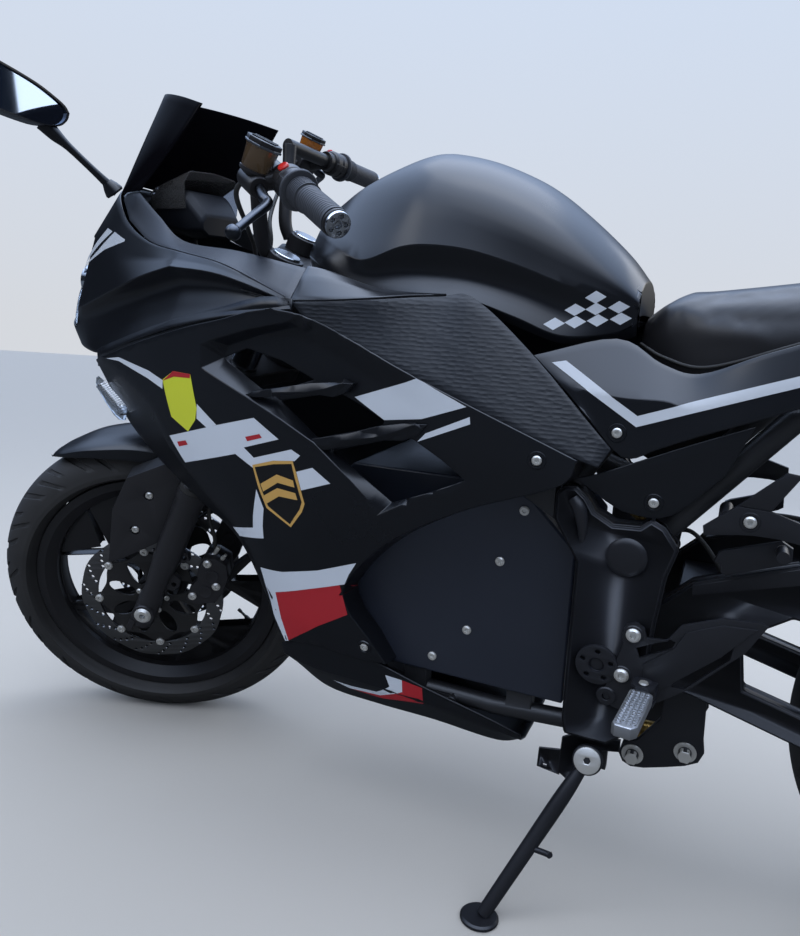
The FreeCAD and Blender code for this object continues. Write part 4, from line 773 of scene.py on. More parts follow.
def tube(path, radius, count=16, steps=6, corners=()):
    """A round bar or hose along a smooth path. The radius may be a list, one for each point."""
    path = [Vector(p) for p in path]
    if isinstance(radius, (int, float)):
        radius = [radius] * len(path)
    line = curve_through(path, steps, corners)
    sizes = curve_through([Vector((r, 0, 0)) for r in radius], steps, corners)
    solid = bmesh.new()
    way = (line[1] - line[0]).normalized()
    side = way.orthogonal().normalized()
    rings = []
    for i, point in enumerate(line):
        way = (line[min(i + 1, len(line) - 1)] - line[max(i - 1, 0)]).normalized()
        side = (side - way * side.dot(way)).normalized()
        other = way.cross(side)
        rings.append([solid.verts.new(point + (side * math.cos(2 * math.pi * k / count) + other
                                               * math.sin(2 * math.pi * k / count)) * sizes[i].x)
                      for k in range(count)])
    for a, b in zip(rings, rings[1:]):
        for k in range(count):
            j = (k + 1) % count
            solid.faces.new((a[k], a[j], b[j], b[k]))
    solid.faces.new(rings[0][::-1])
    solid.faces.new(rings[-1])
    return solid


for name, side in SIDES:
    at = FORK @ Matrix.Translation((LEG_X, side * DISC_OFFSET, AXLE_Z))
    halves = [(plate([CALIPER], 21, 3.5), upright(shift)) for shift in (-15, 15)]
    bridge = plate([BRIDGE], 14, 1)
    caps = [(turned([(0, 0), (13, 0), (13, 1.6), (11, 2.4), (9, 1.2), (0, 1.2)], 28),
             spot((84, 25.4 * out, z), (0, out, 0))) for z in (74, 110) for out in (-1, 1)]
    solid = gather(halves + [(bridge, upright(0))] + caps)
    caliper = made("front_caliper_" + name, solid, leg_paint, "black_frame", at, "steering")
    bolts = [((x, side * 25.6, z), (0, side, 0)) for x, z in ((66, 56), (98, 94), (68, 132))]
    screws("caliper_screws_" + name, bolts, at, "steering", radius=7.5, height=5)
    banjo = gather([(turned([(0, 0), (7, 0), (7, 9), (5, 10), (0, 10)], 6),
                     spot((72, side * 4, 138), (0, side, 0.3))),
                    (rod(4, 0, 24, 16), spot((72, side * 8, 138), (0.1, 0, 1)))])
    made("hose_banjo_" + name, banjo, zinc, "steel", at, "steering", edge=0.4)
    nipple = turned([(0, 0), (4, 0), (4, 5), (2.5, 6), (2.5, 12), (0, 12)], 12)
    made("bleed_nipple_" + name, nipple, zinc, "steel", at @ spot((88, side * 14, 145), (0.3, 0, 1)),
         "steering")
    hose = tube([(72, 0, 146), (60, side * 4, 176), (34, side * 14, 230), (24, side * 22, 330),
                 (24, side * 16, 430), (30, side * 6, 476)], 3.4, 12)
    made("brake_hose_" + name, hose, seal_rubber, "black_frame", at, "steering")
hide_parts("front_calipers")


# Side fairings: satin black mouldings from the nose seam down to the belly pan. A folded flange
# stiffens the front edge; behind a bevelled diagonal band the surface drops to a panel with three
# air openings and two long blades; the rear edge turns in over the battery.
BODY_BLACK = (0.006, 0.007, 0.010)
WALL = 3
RECESS = 22
RECESS_END, RECESS_RUN = 670, 240
TOP_RUN, TOP_SHARE = 35, 0.25
BLADE_THICK = 13
SHEET_CELL = 8
RETURN = 44
FAIRING_MIDDLE = (450, 0, 600)
body_paint = paint("body_black", BODY_BLACK, 0.29, mottle=0.02, tone=1.2)


def weave(rows, down=5, along=5, fold_rows=(), fold_cols=()):
    """A dense grid on a smooth surface through a coarse one; it may fold along given rows and columns."""
    rows = [curve_through([Vector(p) for p in row], along, fold_cols) for row in rows]
    columns = [curve_through([row[i] for row in rows], down, fold_rows) for i in range(len(rows[0]))]
    return [list(row) for row in zip(*columns)]


def skin(grid, closed=False, left_out=()):
    """A surface over a grid of points, without the cells that are left out."""
    solid = bmesh.new()
    rows = [[solid.verts.new(p) for p in row] for row in grid]
    for r, (a, b) in enumerate(zip(rows, rows[1:])):
        for i in range(len(a) if closed else len(a) - 1):
            if (r, i) not in left_out:
                j = (i + 1) % len(a)
                solid.faces.new((a[i], a[j], b[j], b[i]))
    loose = [v for v in solid.verts if not v.link_faces]
    bmesh.ops.delete(solid, geom=loose, context="VERTS")
    return solid


def shell(name, solid, wall, inside, coat, slot, sides=(LEFT,), place=BIKE, body="chassis", edge=0.8,
          fold=26, angle=32):
    """A surface as a moulded panel with a wall grown inward, on the left, the right or both sides."""
    bmesh.ops.recalc_face_normals(solid, faces=solid.faces)
    outward = sum(face.normal.dot(face.calc_center_median() - Vector(inside)) * face.calc_area()
                  for face in solid.faces)
    if outward < 0:
        bmesh.ops.reverse_faces(solid, faces=solid.faces)
    pieces = []
    for side in sides:
        mesh = bpy.data.meshes.new(name)
        solid.to_mesh(mesh)
        label = name if len(sides) == 1 else name + ("_left" if side == LEFT else "_right")
        at = place if side == LEFT else place @ Matrix.Scale(-1, 4, (0, 1, 0))
        piece = made(label, mesh, coat, slot, at, body, angle=angle)
        if wall:
            grow = piece.modifiers.new("wall", "SOLIDIFY")
            grow.thickness = wall * MM
            grow.offset = -1
        if edge:
            break_edges(piece, edge, fold)
        pieces.append(piece)
    solid.free()
    return pieces


def stands_for(pieces, *nodes):
    """Hides the CAD nodes that the pieces replace."""
    for piece in pieces:
        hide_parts(*nodes)


def within(x, z, outline):
    """Whether a point lies inside a closed outline."""
    crossed = False
    for (x1, z1), (x2, z2) in zip(outline, outline[1:] + outline[:1]):
        if (z1 > z) != (z2 > z) and x < (x2 - x1) * (z - z1) / (z2 - z1) + x1:
            crossed = not crossed
    return crossed


def finer(line, step, closed=True):
    """A line with points no further apart than about a step."""
    out = []
    for (x1, z1), (x2, z2) in zip(line, line[1:] + line[:1] if closed else line[1:]):
        count = max(1, round(math.hypot(x2 - x1, z2 - z1) / step))
        out += [(x1 + (x2 - x1) * k / count, z1 + (z2 - z1) * k / count) for k in range(count)]
    return out if closed else out + [line[-1]]


def sheet(outline, holes=(), folds=(), cell=8.0, bare=()):
    """A flat outline filled with triangles whose edges follow its holes and folds. No point is
    added inside a bare outline, so the surface runs straight across it."""
    flat, edges = [], []
    loops = [(loop, True) for loop in (outline, *holes)]
    for line, closed in loops + [(fold, False) for fold in folds]:
        line = finer(line, cell, closed)
        first, count = len(flat), len(line)
        flat += line
        edges += [(first + i, first + (i + 1) % count) for i in range(count if closed else count - 1)]
    near = KDTree(len(flat))
    for i, (x, z) in enumerate(flat):
        near.insert((x, z, 0), i)
    near.balance()
    low_x, high_x = min(p[0] for p in flat), max(p[0] for p in flat)
    low_z, high_z = min(p[1] for p in flat), max(p[1] for p in flat)
    for r in range(int((high_z - low_z) / cell / 0.87) + 1):
        z = low_z + r * cell * 0.87
        for c in range(int((high_x - low_x) / cell) + 1):
            x = low_x + (c + r % 2 / 2) * cell
            if (near.find((x, z, 0))[2] > cell * 0.6 and within(x, z, outline)
                and not any(within(x, z, loop) for loop in [*holes, *bare])):
                flat.append((x, z))
    points, _, faces = delaunay_2d_cdt([Vector(p) for p in flat], edges, [], 0, 1e-3)[:3]
    kept = []
    for face in faces:
        x, z = (sum(points[i][k] for i in face) / 3 for k in (0, 1))
        if within(x, z, outline) and not any(within(x, z, hole) for hole in holes):
            kept.append(face)
    return [tuple(p) for p in points], kept


def lifted(base, x, z):
    """The place and outward way of the left side's surface at a height and a distance along the bike."""
    at, way = base.ray_cast(Vector((x, -400, z)), Vector((0, 1, 0)))[:2]
    if at is None:
        at, way = base.find_nearest(Vector((x, -220, z)))[:2]
    return at, way if way.y < 0 else -way


def drape(solid, base, settle, *flat, **more):
    """Adds a flat sheet to a bmesh, each point settled in its own way on a surface."""
    points, faces = sheet(*flat, **more)
    verts = []
    for x, z in points:
        verts.append(solid.verts.new(settle(x, z, *lifted(base, x, z))))
    for face in faces:
        solid.faces.new([verts[i] for i in face])


def tree_of(grid):
    """A surface that rays can be cast on."""
    cols = len(grid[0])
    faces = [(r * cols + c, r * cols + c + 1, (r + 1) * cols + c + 1, (r + 1) * cols + c)
             for r in range(len(grid) - 1) for c in range(cols - 1)]
    return BVHTree.FromPolygons([p for row in grid for p in row], faces)


FAIRING = [
    [(-26, -127, 716), (2, -142, 724), (145, -180, 765), (285, -209, 797), (417, -216, 815),
     (600, -213, 741), (804, -190, 656)],
    [(52, -140, 622), (138, -185, 671), (215, -202, 690), (300, -213, 700), (440, -219, 700),
     (600, -212, 660), (784, -195, 622)],
    [(126, -150, 565), (184, -190, 602), (250, -204, 614), (320, -212, 620), (440, -215, 620),
     (560, -208, 590), (665, -200, 574)],
    [(205, -150, 509), (236, -183, 540), (290, -198, 545), (340, -205, 540), (430, -208, 525),
     (500, -202, 512), (559, -198, 511)],
    [(278, -150, 457), (300, -174, 470), (334, -184, 463), (370, -190, 455), (430, -190, 445),
     (462, -188, 440), (490, -185, 433)],
    [(325, -150, 380), (345, -164, 385), (372, -171, 385), (400, -175, 385), (440, -178, 388),
     (466, -178, 390), (491, -178, 392)],
    [(345, -150, 330), (356, -157, 345), (383, -164, 345), (410, -168, 345), (455, -170, 348),
     (488, -170, 350), (518, -170, 353)],
    [(362, -145, 292), (368, -150, 302), (396, -153, 306), (425, -155, 309), (470, -158, 308),
     (510, -160, 308), (547, -160, 310)],
]
BAND_FRONT = [(217, 747), (284, 720), (346, 695), (404, 669), (455, 643), (509, 595), (538, 566),
              (564, 532)]
BAND_BACK = [(289, 744), (361, 704), (391, 692), (451, 646), (476, 631), (565, 571), (590, 550)]
STEP_TOP = [(217, 747), (283, 770), (350, 788), (416, 802), (436, 805)]
STEP_FOOT = [(289, 744), (298, 762), (352, 779), (414, 794), (442, 798)]
LIP = [(565, 571), (616, 592), (668, 616)]
OPENINGS = [
    [(289, 744), (332, 760), (391, 747), (443, 725), (405, 712), (361, 704)],
    [(391, 692), (424, 699), (483, 712), (516, 699), (554, 681), (551, 675), (504, 660), (451, 646)],
    [(476, 631), (516, 643), (585, 664), (599, 659), (635, 639), (668, 616), (616, 592), (565, 571)],
]
BLADES = [
    [(340, 697), (357, 704), (405, 714), (449, 723), (486, 727), (513, 727), (500, 713), (484, 707),
     (443, 709), (378, 697)],
    [(430, 637), (451, 647), (504, 660), (551, 675), (585, 682), (616, 683), (604, 668), (584, 659),
     (546, 655), (470, 633)],
]
fairing_grid = weave(FAIRING, 6, 6, (), (1,))


def rim_of(grid, inset=0.03):
    """The four edges of a grid, clockwise from its first corner, a hair inside so that rays meet
    the surface."""
    loop = [(0, c) for c in range(len(grid[0]))] + [(r, len(grid[0]) - 1) for r in range(1, len(grid))]
    loop += [(len(grid) - 1, c) for c in range(len(grid[0]) - 2, -1, -1)]
    loop += [(r, 0) for r in range(len(grid) - 2, 0, -1)]
    out = []
    for r, c in loop:
        towards = grid[min(max(r, 1), len(grid) - 2)][min(max(c, 1), len(grid[0]) - 2)]
        point = grid[r][c].lerp(towards, inset)
        out.append((point.x, point.z))
    return out


fairing_outline = rim_of(fairing_grid)
across_count = len(fairing_grid[0])
top_edge = fairing_outline[:across_count]
rear_edge = fairing_outline[across_count - 1:across_count + len(fairing_grid) - 1]


def edge_height(x):
    """The height of the fairing's top edge at a distance along the bike."""
    for (x1, z1), (x2, z2) in zip(top_edge, top_edge[1:]):
        if x1 <= x <= x2:
            return z1 + (z2 - z1) * (x - x1) / (x2 - x1)
    return top_edge[-1][1]


def sunk(x, z):
    """How far the rear panel lies below the outer surface: it runs out to the rear and the top."""
    rearward_share = min(max((RECESS_END - x) / RECESS_RUN, 0), 1)
    return RECESS * rearward_share * min(max((edge_height(x) - z) / TOP_RUN, TOP_SHARE), 1)


dropped = STEP_FOOT + [p for p in top_edge if 445 < p[0] < 690] + [(690, 640), (668, 616)]
dropped += LIP[1::-1] + BAND_BACK[4::-1]
strip = BAND_FRONT + BAND_BACK[::-1]
step = STEP_TOP + STEP_FOOT[::-1]
folds = [[(row[6].x, row[6].z) for row in fairing_grid], BAND_FRONT, BAND_BACK, STEP_TOP[:-1],
         STEP_FOOT[:-1], LIP]
base = tree_of(fairing_grid)
deep = {(round(x, 2), round(z, 2)) for line in (BAND_BACK[:-1], STEP_FOOT[:-1], LIP[:1])
        for x, z in finer(line, SHEET_CELL, False)}


def panel_place(x, z, at, way):
    """A point of the fairing: on the outer surface, or below it within the recess."""
    if (round(x, 2), round(z, 2)) in deep or within(x, z, dropped):
        return at + Vector((0, sunk(x, z), 0))
    return at


solid = bmesh.new()
drape(solid, base, panel_place, fairing_outline, OPENINGS, folds, SHEET_CELL, [strip, step])
ends = {(round(x, 1), round(z, 1)) for x, z in finer(rear_edge, SHEET_CELL, False)}
bound = [edge for edge in solid.edges if edge.is_boundary
         and all((round(v.co.x, 1), round(v.co.z, 1)) in ends for v in edge.verts)]
turned_in = bmesh.ops.extrude_edge_only(solid, edges=bound)
for vert in [v for v in turned_in["geom"] if isinstance(v, bmesh.types.BMVert)]:
    vert.co.y += RETURN
    vert.co.x += 3
    vert.co.z -= 5
surface = BVHTree.FromBMesh(solid)
fairings = shell("side_fairing", solid, WALL, FAIRING_MIDDLE, body_paint, "black_bodywork", BOTH,
                 edge=1.4, fold=24)
for piece, side in zip(fairings, ("left", "right")):
    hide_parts("side_fairing_" + side)

for i, outline in enumerate(BLADES):
    spine = [((a[0] + b[0]) / 2, (a[1] + b[1]) / 2) for a, b in zip(outline[:5], outline[:4:-1])]

    def blade_place(x, z, at, way):
        from_spine = min(math.hypot(x - a, z - b) for a, b in finer(spine, 3, False))
        return at + way * (1.5 - min(from_spine, 5) * 0.7)

    solid = bmesh.new()
    drape(solid, base, blade_place, outline, folds=[spine[1:]], cell=9)
    shell("blade_%d" % (i + 1), solid, BLADE_THICK, FAIRING_MIDDLE, body_paint, "black_bodywork", BOTH,
          edge=0.6, fold=20)

seam = [p for p in fairing_grid[0] if p.x < 440]
tuck = skin([[p + Vector((0, 5, rise)) for p in seam] for rise in (16, -12)])
shell("seam_flange", tuck, WALL, FAIRING_MIDDLE, body_paint, "black_bodywork", BOTH, edge=0)


# Stripes and badges on the left and right alike: thin vinyl, cut to shape, pale silver with red,
# yellow and black. The lettering and the badges' figures are left off; the two shields stay plain.
VINYL = 0.35
silver_vinyl = paint("silver_vinyl", (0.56, 0.62, 0.72), 0.38, mottle=0.04, tone=1.08)
red_vinyl = paint("red_vinyl", (0.40, 0.012, 0.022), 0.38, mottle=0.04, tone=1.1)
yellow_vinyl = paint("yellow_vinyl", (0.60, 0.66, 0.03), 0.38, mottle=0.04, tone=1.05)
gold_vinyl = paint("gold_vinyl", (0.55, 0.33, 0.09), 0.34, mottle=0.04, tone=1.1)
black_vinyl = paint("black_vinyl", (0.006, 0.006, 0.007), 0.45, mottle=0.04)


def decals(name, outlines, base, coat, lift=VINYL, inside=FAIRING_MIDDLE, cell=9):
    """Thin sheets on a surface, cut to outlines in (x, z), mirrored on the right."""
    solid = bmesh.new()
    for outline in outlines:
        drape(solid, base, lambda x, z, at, way: at + way * lift, outline, cell=cell)
    shell(name, solid, 0, inside, coat, "black_bodywork", BOTH, edge=0)


def shrunk(outline, by):
    """An outline drawn in towards its middle."""
    middle = Vector((sum(p[0] for p in outline), sum(p[1] for p in outline))) / len(outline)
    return [tuple(Vector(p) + (middle - Vector(p)).normalized() * by) for p in outline]


SILVER = [
    [(20, 722), (58, 727), (141, 714), (178, 703), (177, 690), (140, 702), (58, 721)],
    [(253, 676), (290, 649), (270, 643), (251, 654)],
    [(186, 619), (294, 650), (358, 667), (399, 641), (335, 621), (321, 610), (213, 580)],
    [(317, 613), (333, 626), (355, 609), (419, 629), (433, 622), (424, 613), (388, 609), (352, 594)],
    [(426, 598), (452, 607), (479, 588), (433, 572)],
    [(356, 562), (366, 534), (360, 505), (358, 484), (300, 472), (289, 485), (340, 498), (344, 518)],
    [(336, 427), (384, 433), (447, 449), (511, 473), (497, 451), (489, 434), (429, 414), (361, 390),
     (364, 343), (372, 303), (364, 300), (346, 345)],
    [(509, 708), (602, 740), (666, 710), (607, 689), (554, 682)],
    [(613, 671), (671, 698), (672, 689), (602, 659)],
]
RED = [
    [(361, 390), (429, 414), (489, 434), (487, 400), (490, 384), (436, 351), (372, 304), (364, 343)],
    [(203, 612), (223, 617), (227, 611), (206, 605)],
    [(342, 638), (367, 645), (371, 640), (345, 632)],
]
YELLOW_SHIELD = [(178, 704), (203, 719), (241, 718), (253, 669), (248, 651), (231, 632), (196, 650)]
SHIELD_CAP = [(178, 702), (203, 719), (241, 718), (240, 712), (205, 711)]
BLACK_SHIELD = [(352, 598), (388, 609), (421, 613), (427, 593), (438, 553), (433, 540), (412, 513),
                (372, 536), (360, 566)]
CHEVRON = [(365, 572), (394, 590), (421, 585), (423, 575), (395, 578), (369, 561)]
CHEVRON_LOW = [(368, 554), (394, 570), (424, 567), (427, 557), (396, 558), (373, 543)]
decals("fairing_silver", SILVER, surface, silver_vinyl)
decals("fairing_red", RED, surface, red_vinyl, VINYL * 2)
decals("fairing_yellow_shield", [YELLOW_SHIELD], surface, yellow_vinyl, VINYL * 2)
decals("fairing_shield_cap", [SHIELD_CAP], surface, red_vinyl, VINYL * 3)
decals("fairing_gold_edge", [BLACK_SHIELD], surface, gold_vinyl, VINYL * 2)
decals("fairing_black_shield", [shrunk(BLACK_SHIELD, 5)], surface, black_vinyl, VINYL * 3)
decals("fairing_chevrons", [CHEVRON, CHEVRON_LOW], surface, gold_vinyl, VINYL * 4)


# Nose cowl: one moulding round the headlight, folded along a lower ridge that rises from the lamp's
# corner and along the edge of the trim that carries the screen. Both halves mirror the left one.
NOSE = [
    [(-25, 0, 1005), (-15, -45, 998), (6, -84, 982), (45, -112, 940),
     (116, -142, 906), (205, -170, 890), (297, -195, 873), (408, -207, 832)],
    [(-95, 0, 925), (-88, -42, 922), (-66, -74, 915), (22, -122, 885),
     (117, -152, 880), (199, -180, 879), (298, -200, 866), (411, -209, 829)],
    [(-145, 0, 850), (-132, -50, 835), (-96, -92, 800), (36, -143, 831),
     (117, -169, 853), (197, -193, 869), (298, -207, 859), (413, -211, 826)],
    [(-160, 0, 820), (-146, -46, 810), (-104, -86, 784), (36, -126, 814),
     (119, -144, 833), (198, -166, 848), (299, -190, 843), (414, -210, 824)],
    [(-173, 0, 785), (-158, -40, 780), (-112, -82, 765), (24, -127, 778),
     (117, -151, 800), (200, -177, 815), (300, -199, 820), (415, -212, 821)],
    [(-163, 0, 748), (-146, -40, 742), (-96, -86, 731), (-10, -130, 728),
     (90, -163, 755), (190, -192, 781), (300, -211, 802), (417, -214, 817)],
]
NOSE_MIDDLE = (60, 0, 840)
NOSE_STEPS = 6
LAMP_COLUMNS = 2


def whole_width(rows):
    """Rows from the right side over the centre line to the left, from their left halves."""
    return [[(x, -y, z) for x, y, z in reversed(row[1:])] + row for row in rows]


nose_grid = weave(whole_width(NOSE), NOSE_STEPS, NOSE_STEPS, (1, 2), (2, 12))
left_nose = tree_of([row[len(row) // 2:] for row in nose_grid])
half = len(NOSE[0]) - 1
lamp_cells = {(r, c) for r in range(NOSE_STEPS, 4 * NOSE_STEPS)
              for c in range((half - LAMP_COLUMNS) * NOSE_STEPS, (half + LAMP_COLUMNS) * NOSE_STEPS)}
cowl = skin(nose_grid, left_out=lamp_cells)
stands_for(shell("nose_cowl", cowl, WALL, (150, 0, 800), body_paint, "black_bodywork", edge=1.4,
                 fold=14), "nose_cowl")
NOSE_STRIPES = [
    [(-14, 930), (-48, 909), (-84, 884), (-102, 864), (-71, 885), (-30, 907), (5, 924)],
    [(13, 923), (50, 910), (49, 907), (-12, 895), (-79, 873), (-112, 843), (-100, 866), (-39, 894)],
]
decals("nose_stripes", NOSE_STRIPES, left_nose, silver_vinyl, inside=NOSE_MIDDLE)

# Headlight: not seen in the photo. A clear cover carries on the cowl's surface over a black bowl with
# two round projector lamps and a bright strip above them, as road bikes of this kind have.
lamp_rows = [row[(half - LAMP_COLUMNS) * NOSE_STEPS:(half + LAMP_COLUMNS) * NOSE_STEPS + 1]
             for row in nose_grid[NOSE_STEPS:4 * NOSE_STEPS + 1]]


def glazing(name, colour, rough, through, **more):
    """A clear or tinted plastic, with further shader inputs by name."""
    stuff, tree, shader = material(name)
    shader["Base Color"].default_value = (*colour, 1)
    shader["Roughness"].default_value = rough
    shader["Transmission Weight"].default_value = through
    for key, value in more.items():
        shader[key.replace("_", " ")].default_value = value
    return stuff


clear = glazing("clear_cover", (0.86, 0.90, 0.94), 0.04, 0.95, IOR=1.2)
lamp_chrome = paint("lamp_chrome", (0.72, 0.73, 0.75), 0.12, metal=1, mottle=0.02)
lamp_black = paint("lamp_black", (0.012, 0.012, 0.013), 0.28, mottle=0.02)


def sunk_grid(grid, middle, depth, shrink):
    """A grid moved towards a point, for a liner or a lens behind an opening."""
    return [[p.lerp(Vector(middle), shrink) + Vector((depth, 0, 0)) for p in row] for row in grid]


cover = skin(sunk_grid(lamp_rows, (-60, 0, 840), 4, 0.012))
stands_for(shell("headlight_cover", cover, 3, NOSE_MIDDLE, clear, "clear_lens"), "headlight")
bowl = skin(sunk_grid(lamp_rows, (-60, 0, 840), 26, 0.10))
shell("headlight_bowl", bowl, 2, NOSE_MIDDLE, lamp_black, "clear_lens", edge=0)
REFLECTOR = [(0, 0), (14, -2), (24, -10), (29, -20), (32, -21), (33, -14), (33, 8), (0, 8)]
LENS_PROFILE = [(0, -18), (8, -17), (15, -13), (20, -6), (22, -2), (22, 0), (0, 0)]
for label, side in SIDES:
    lamp_at = BIKE @ Matrix.Translation((-82, side * 44, 842)) @ Matrix.Rotation(math.radians(90), 4, "Y")
    made("projector_ring_" + label, turned(REFLECTOR), lamp_chrome, "clear_lens", lamp_at, edge=0.5)
    made("projector_lens_" + label, turned(LENS_PROFILE), clear, "clear_lens", lamp_at)
    strip = tube([(-100, side * 12, 893), (-92, side * 44, 889), (-72, side * 68, 880)], 4, 12)
    made("day_strip_" + label, strip, lamp_chrome, "clear_lens")


# Windscreen: a dark smoked bubble on the cowl's top edge, its wings swept back beside the dash. A
# black apron closes the gap below it.
SCREEN = [
    [(49, 0, 1141), (62, -32, 1140), (95, -62, 1134), (142, -86, 1122), (192, -102, 1106)],
    [(14, 0, 1078), (24, -34, 1076), (50, -66, 1070), (92, -92, 1060), (138, -108, 1046)],
    [(-24, 0, 1006), (-13, -44, 999.5), (6, -80, 986.5), (26, -89, 986), (58, -94, 987)],
]
smoke = glazing("smoked_acrylic", (0.004, 0.004, 0.006), 0.06, 0.1, Specular_IOR_Level=0.03, IOR=1.25)
screen_grid = weave(whole_width(SCREEN), 7, 5)
stands_for(shell("windscreen", skin(screen_grid), 2.6, (160, 0, 1000), smoke, "smoked_screen", edge=0.8,
                 fold=60), "windscreen")
FOOT = [(-20, 0, 1000), (-9, -43, 994), (8, -78, 981), (40, -88, 976)]
APRON = [(30, 0, 985), (32, -30, 984), (36, -44, 976), (62, -70, 950)]
apron = skin(weave(whole_width([FOOT, APRON]), 3, 3))
shell("screen_apron", apron, 2, (40, 0, 900), body_paint, "grained_plastic")


# Inner cowl panels: fine-grained trims that fill the space from the dash to the tank inside the cowl's
# edge.
INNER = [
    [(24, -86, 984), (54, -92, 985), (112, -112, 946), (176, -131, 908), (284, -141, 894),
     (402, -150, 872)],
    [(14, -85, 975), (48, -109, 940), (116, -138, 906), (205, -166, 890), (297, -191, 873),
     (412, -207, 830)],
]
grained = paint("grained_plastic", (0.014, 0.017, 0.024), 0.45, mottle=0.05, tone=1.3, grain=0.35,
                grain_mm=0.9)
trims = shell("cowl_trim", skin(weave(INNER, 6, 8, (), (1,))), WALL, (200, 0, 700), grained,
              "grained_plastic", BOTH, edge=0.8)
stands_for(trims, "cowl_inner_panels")


# Dash: a dark housing under the screen with a sloping display face, a clear visor hood over it and
# a narrow neck down to the cowl. The display is blank.
DASH = ((20, 46, 950, 980), (60, 60, 930, 996), (118, 64, 918, 992), (146, 52, 920, 955))
dash_black = paint("dash_black", (0.004, 0.005, 0.008), 0.5, mottle=0.03, gleam=0.2)
display_glass = paint("display_glass", (0.008, 0.012, 0.03), 0.06, mottle=0.0, coat=0.6)
loops = []
for x, wide, low, high in DASH:
    left_half = [(-wide * 0.75, high), (-wide, high - 12), (-wide, low + 10), (-wide * 0.7, low)]
    loops.append([Vector((x, y, z)) for y, z in left_half + [(-y, z) for y, z in reversed(left_half)]])
housing = skin(loops, closed=True)
for end in (0, -1):
    housing.faces.new([v for v in housing.verts if abs(v.co.x - DASH[end][0]) < 0.01])
dash = shell("dash_housing", housing, 0, (80, 0, 960), dash_black, "grained_plastic", edge=4, fold=20)
stands_for(dash, "dash_panel")
FACE_LOW, FACE_HIGH = Vector((147, 0, 923)), Vector((121, 0, 988))
face_way = (FACE_HIGH - FACE_LOW).normalized()
out_way = Vector((face_way.z, 0, -face_way.x))
screen_pane = Matrix((out_way, Vector((0, 1, 0)), face_way)).transposed().to_4x4()
screen_pane.translation = (FACE_LOW + FACE_HIGH) / 2
pane = bmesh.new()
bmesh.ops.create_cube(pane, size=1, matrix=screen_pane @ Matrix.Diagonal((2.5, 92, 50, 1)))
made("dash_display", pane, display_glass, "grained_plastic", edge=1)
VISOR = [(126, -68, 962), (128, -72, 1002), (130, -58, 1020), (131, 0, 1024), (130, 58, 1020),
         (128, 72, 1002), (126, 68, 962)]
visor_smoke = glazing("visor_smoke", (0.30, 0.30, 0.31), 0.08, 0.85, IOR=1.15)
hood = [[Vector((x - 74 * back, y * (1 - 0.08 * back), 962 + (z - 962) * (1 - 0.38 * back)))
         for x, y, z in VISOR] for back in (0, 1)]
shell("dash_visor", skin(hood), 2, (60, 0, 960), visor_smoke, "smoked_screen", edge=0.5)


# Tank cover: a moulded dome over the battery's controller. A crease runs along each flank above a
# knee hollow, and the lower edge turns in over the covers below it.
TANK_MIDDLE = (600, 0, 880)
TANK = [
    (384, 968, 44, 952, 84, 926, 102, 905, 112, 891, 866),
    (430, 996, 62, 970, 124, 908, 137, 886, 141, 867, 850),
    (484, 1018, 85, 978, 146, 884, 144, 866, 149, 850, 836),
    (543, 1034, 110, 984, 149, 901, 139, 870, 152, 842, 832),
    (585, 1032, 116, 981, 149, 904, 136, 869, 153, 841, 831),
    (639, 1018, 121, 966, 146, 898, 134, 864, 150, 838, 828),
    (702, 990, 121, 940, 139, 880, 129, 850, 143, 818, 806),
    (757, 951, 111, 911, 127, 860, 120, 832, 131, 798, 788),
    (812, 903, 96, 872, 105, 846, 101, 824, 103, 802, 790),
    (842, 868, 84, 845, 87, 833, 86, 823, 86, 815, 800),
]
rows = []
for x, ridge, cy, cz, ky, kz, hy, hz, by, bz, floor_z in TANK:
    rows.append([(x, 0, ridge), (x, -cy * 0.55, ridge - (ridge - cz) * 0.22), (x, -cy, cz), (x, -ky, kz),
                 (x, -hy, hz), (x, -by, bz), (x, -by + 12, floor_z)])
tank_grid = weave(whole_width(rows), 6, 5, (), (1, 3, 9, 11))
left_tank = tree_of([row[len(row) // 2:] for row in tank_grid])
dome = skin(tank_grid)
for end in (tank_grid[0], tank_grid[-1]):
    dome.faces.new(sorted((v for v in dome.verts if abs(v.co.x - end[0].x) < 0.01), key=lambda v: v.co.y))
stands_for(shell("tank_cover", dome, 0, TANK_MIDDLE, body_paint, "black_bodywork", edge=1.2, fold=30),
           "tank_cover")

CHECKS = [(793, 846), (770, 830), (794, 832), (820, 835), (748, 812), (772, 815), (797, 818), (823, 821)]
diamonds = [[(x - 12.3, z - 1), (x, z + 7.6), (x + 12.3, z + 1), (x, z - 7.6)] for x, z in CHECKS]
decals("tank_checks", diamonds, left_tank, silver_vinyl, 0.6, TANK_MIDDLE, 4)


# Infill panels: covers between the tank's lower edge and the fairing, with rows of small scales
# moulded into them, below a smooth shelf beside the tank.
INFILL = [
    [(414, -208, 827), (509, -186, 833), (605, -158, 841), (650, -154, 840), (728, -156, 778),
     (838, -168, 670)],
    [(434, -209, 806), (493, -206, 778), (577, -203, 742), (671, -199, 706), (746, -192, 674),
     (826, -180, 648)],
]
UPPER = [
    [(402, -146, 876), (440, -147, 869), (509, -150, 850), (560, -152, 845), (612, -154, 844)],
    [(406, -170, 860), (446, -166, 858), (512, -166, 845), (562, -160, 844), (613, -156, 844)],
    [(412, -207, 829), (462, -198, 831), (520, -183, 836), (568, -168, 841), (614, -157, 843)],
]
scaly = paint("scaly_plastic", (0.006, 0.0075, 0.011), 0.36, mottle=0.04, tone=1.3)
scaly_tree = scaly.node_tree
scale_place = node(scaly_tree, "ShaderNodeTexCoord").outputs["Object"]
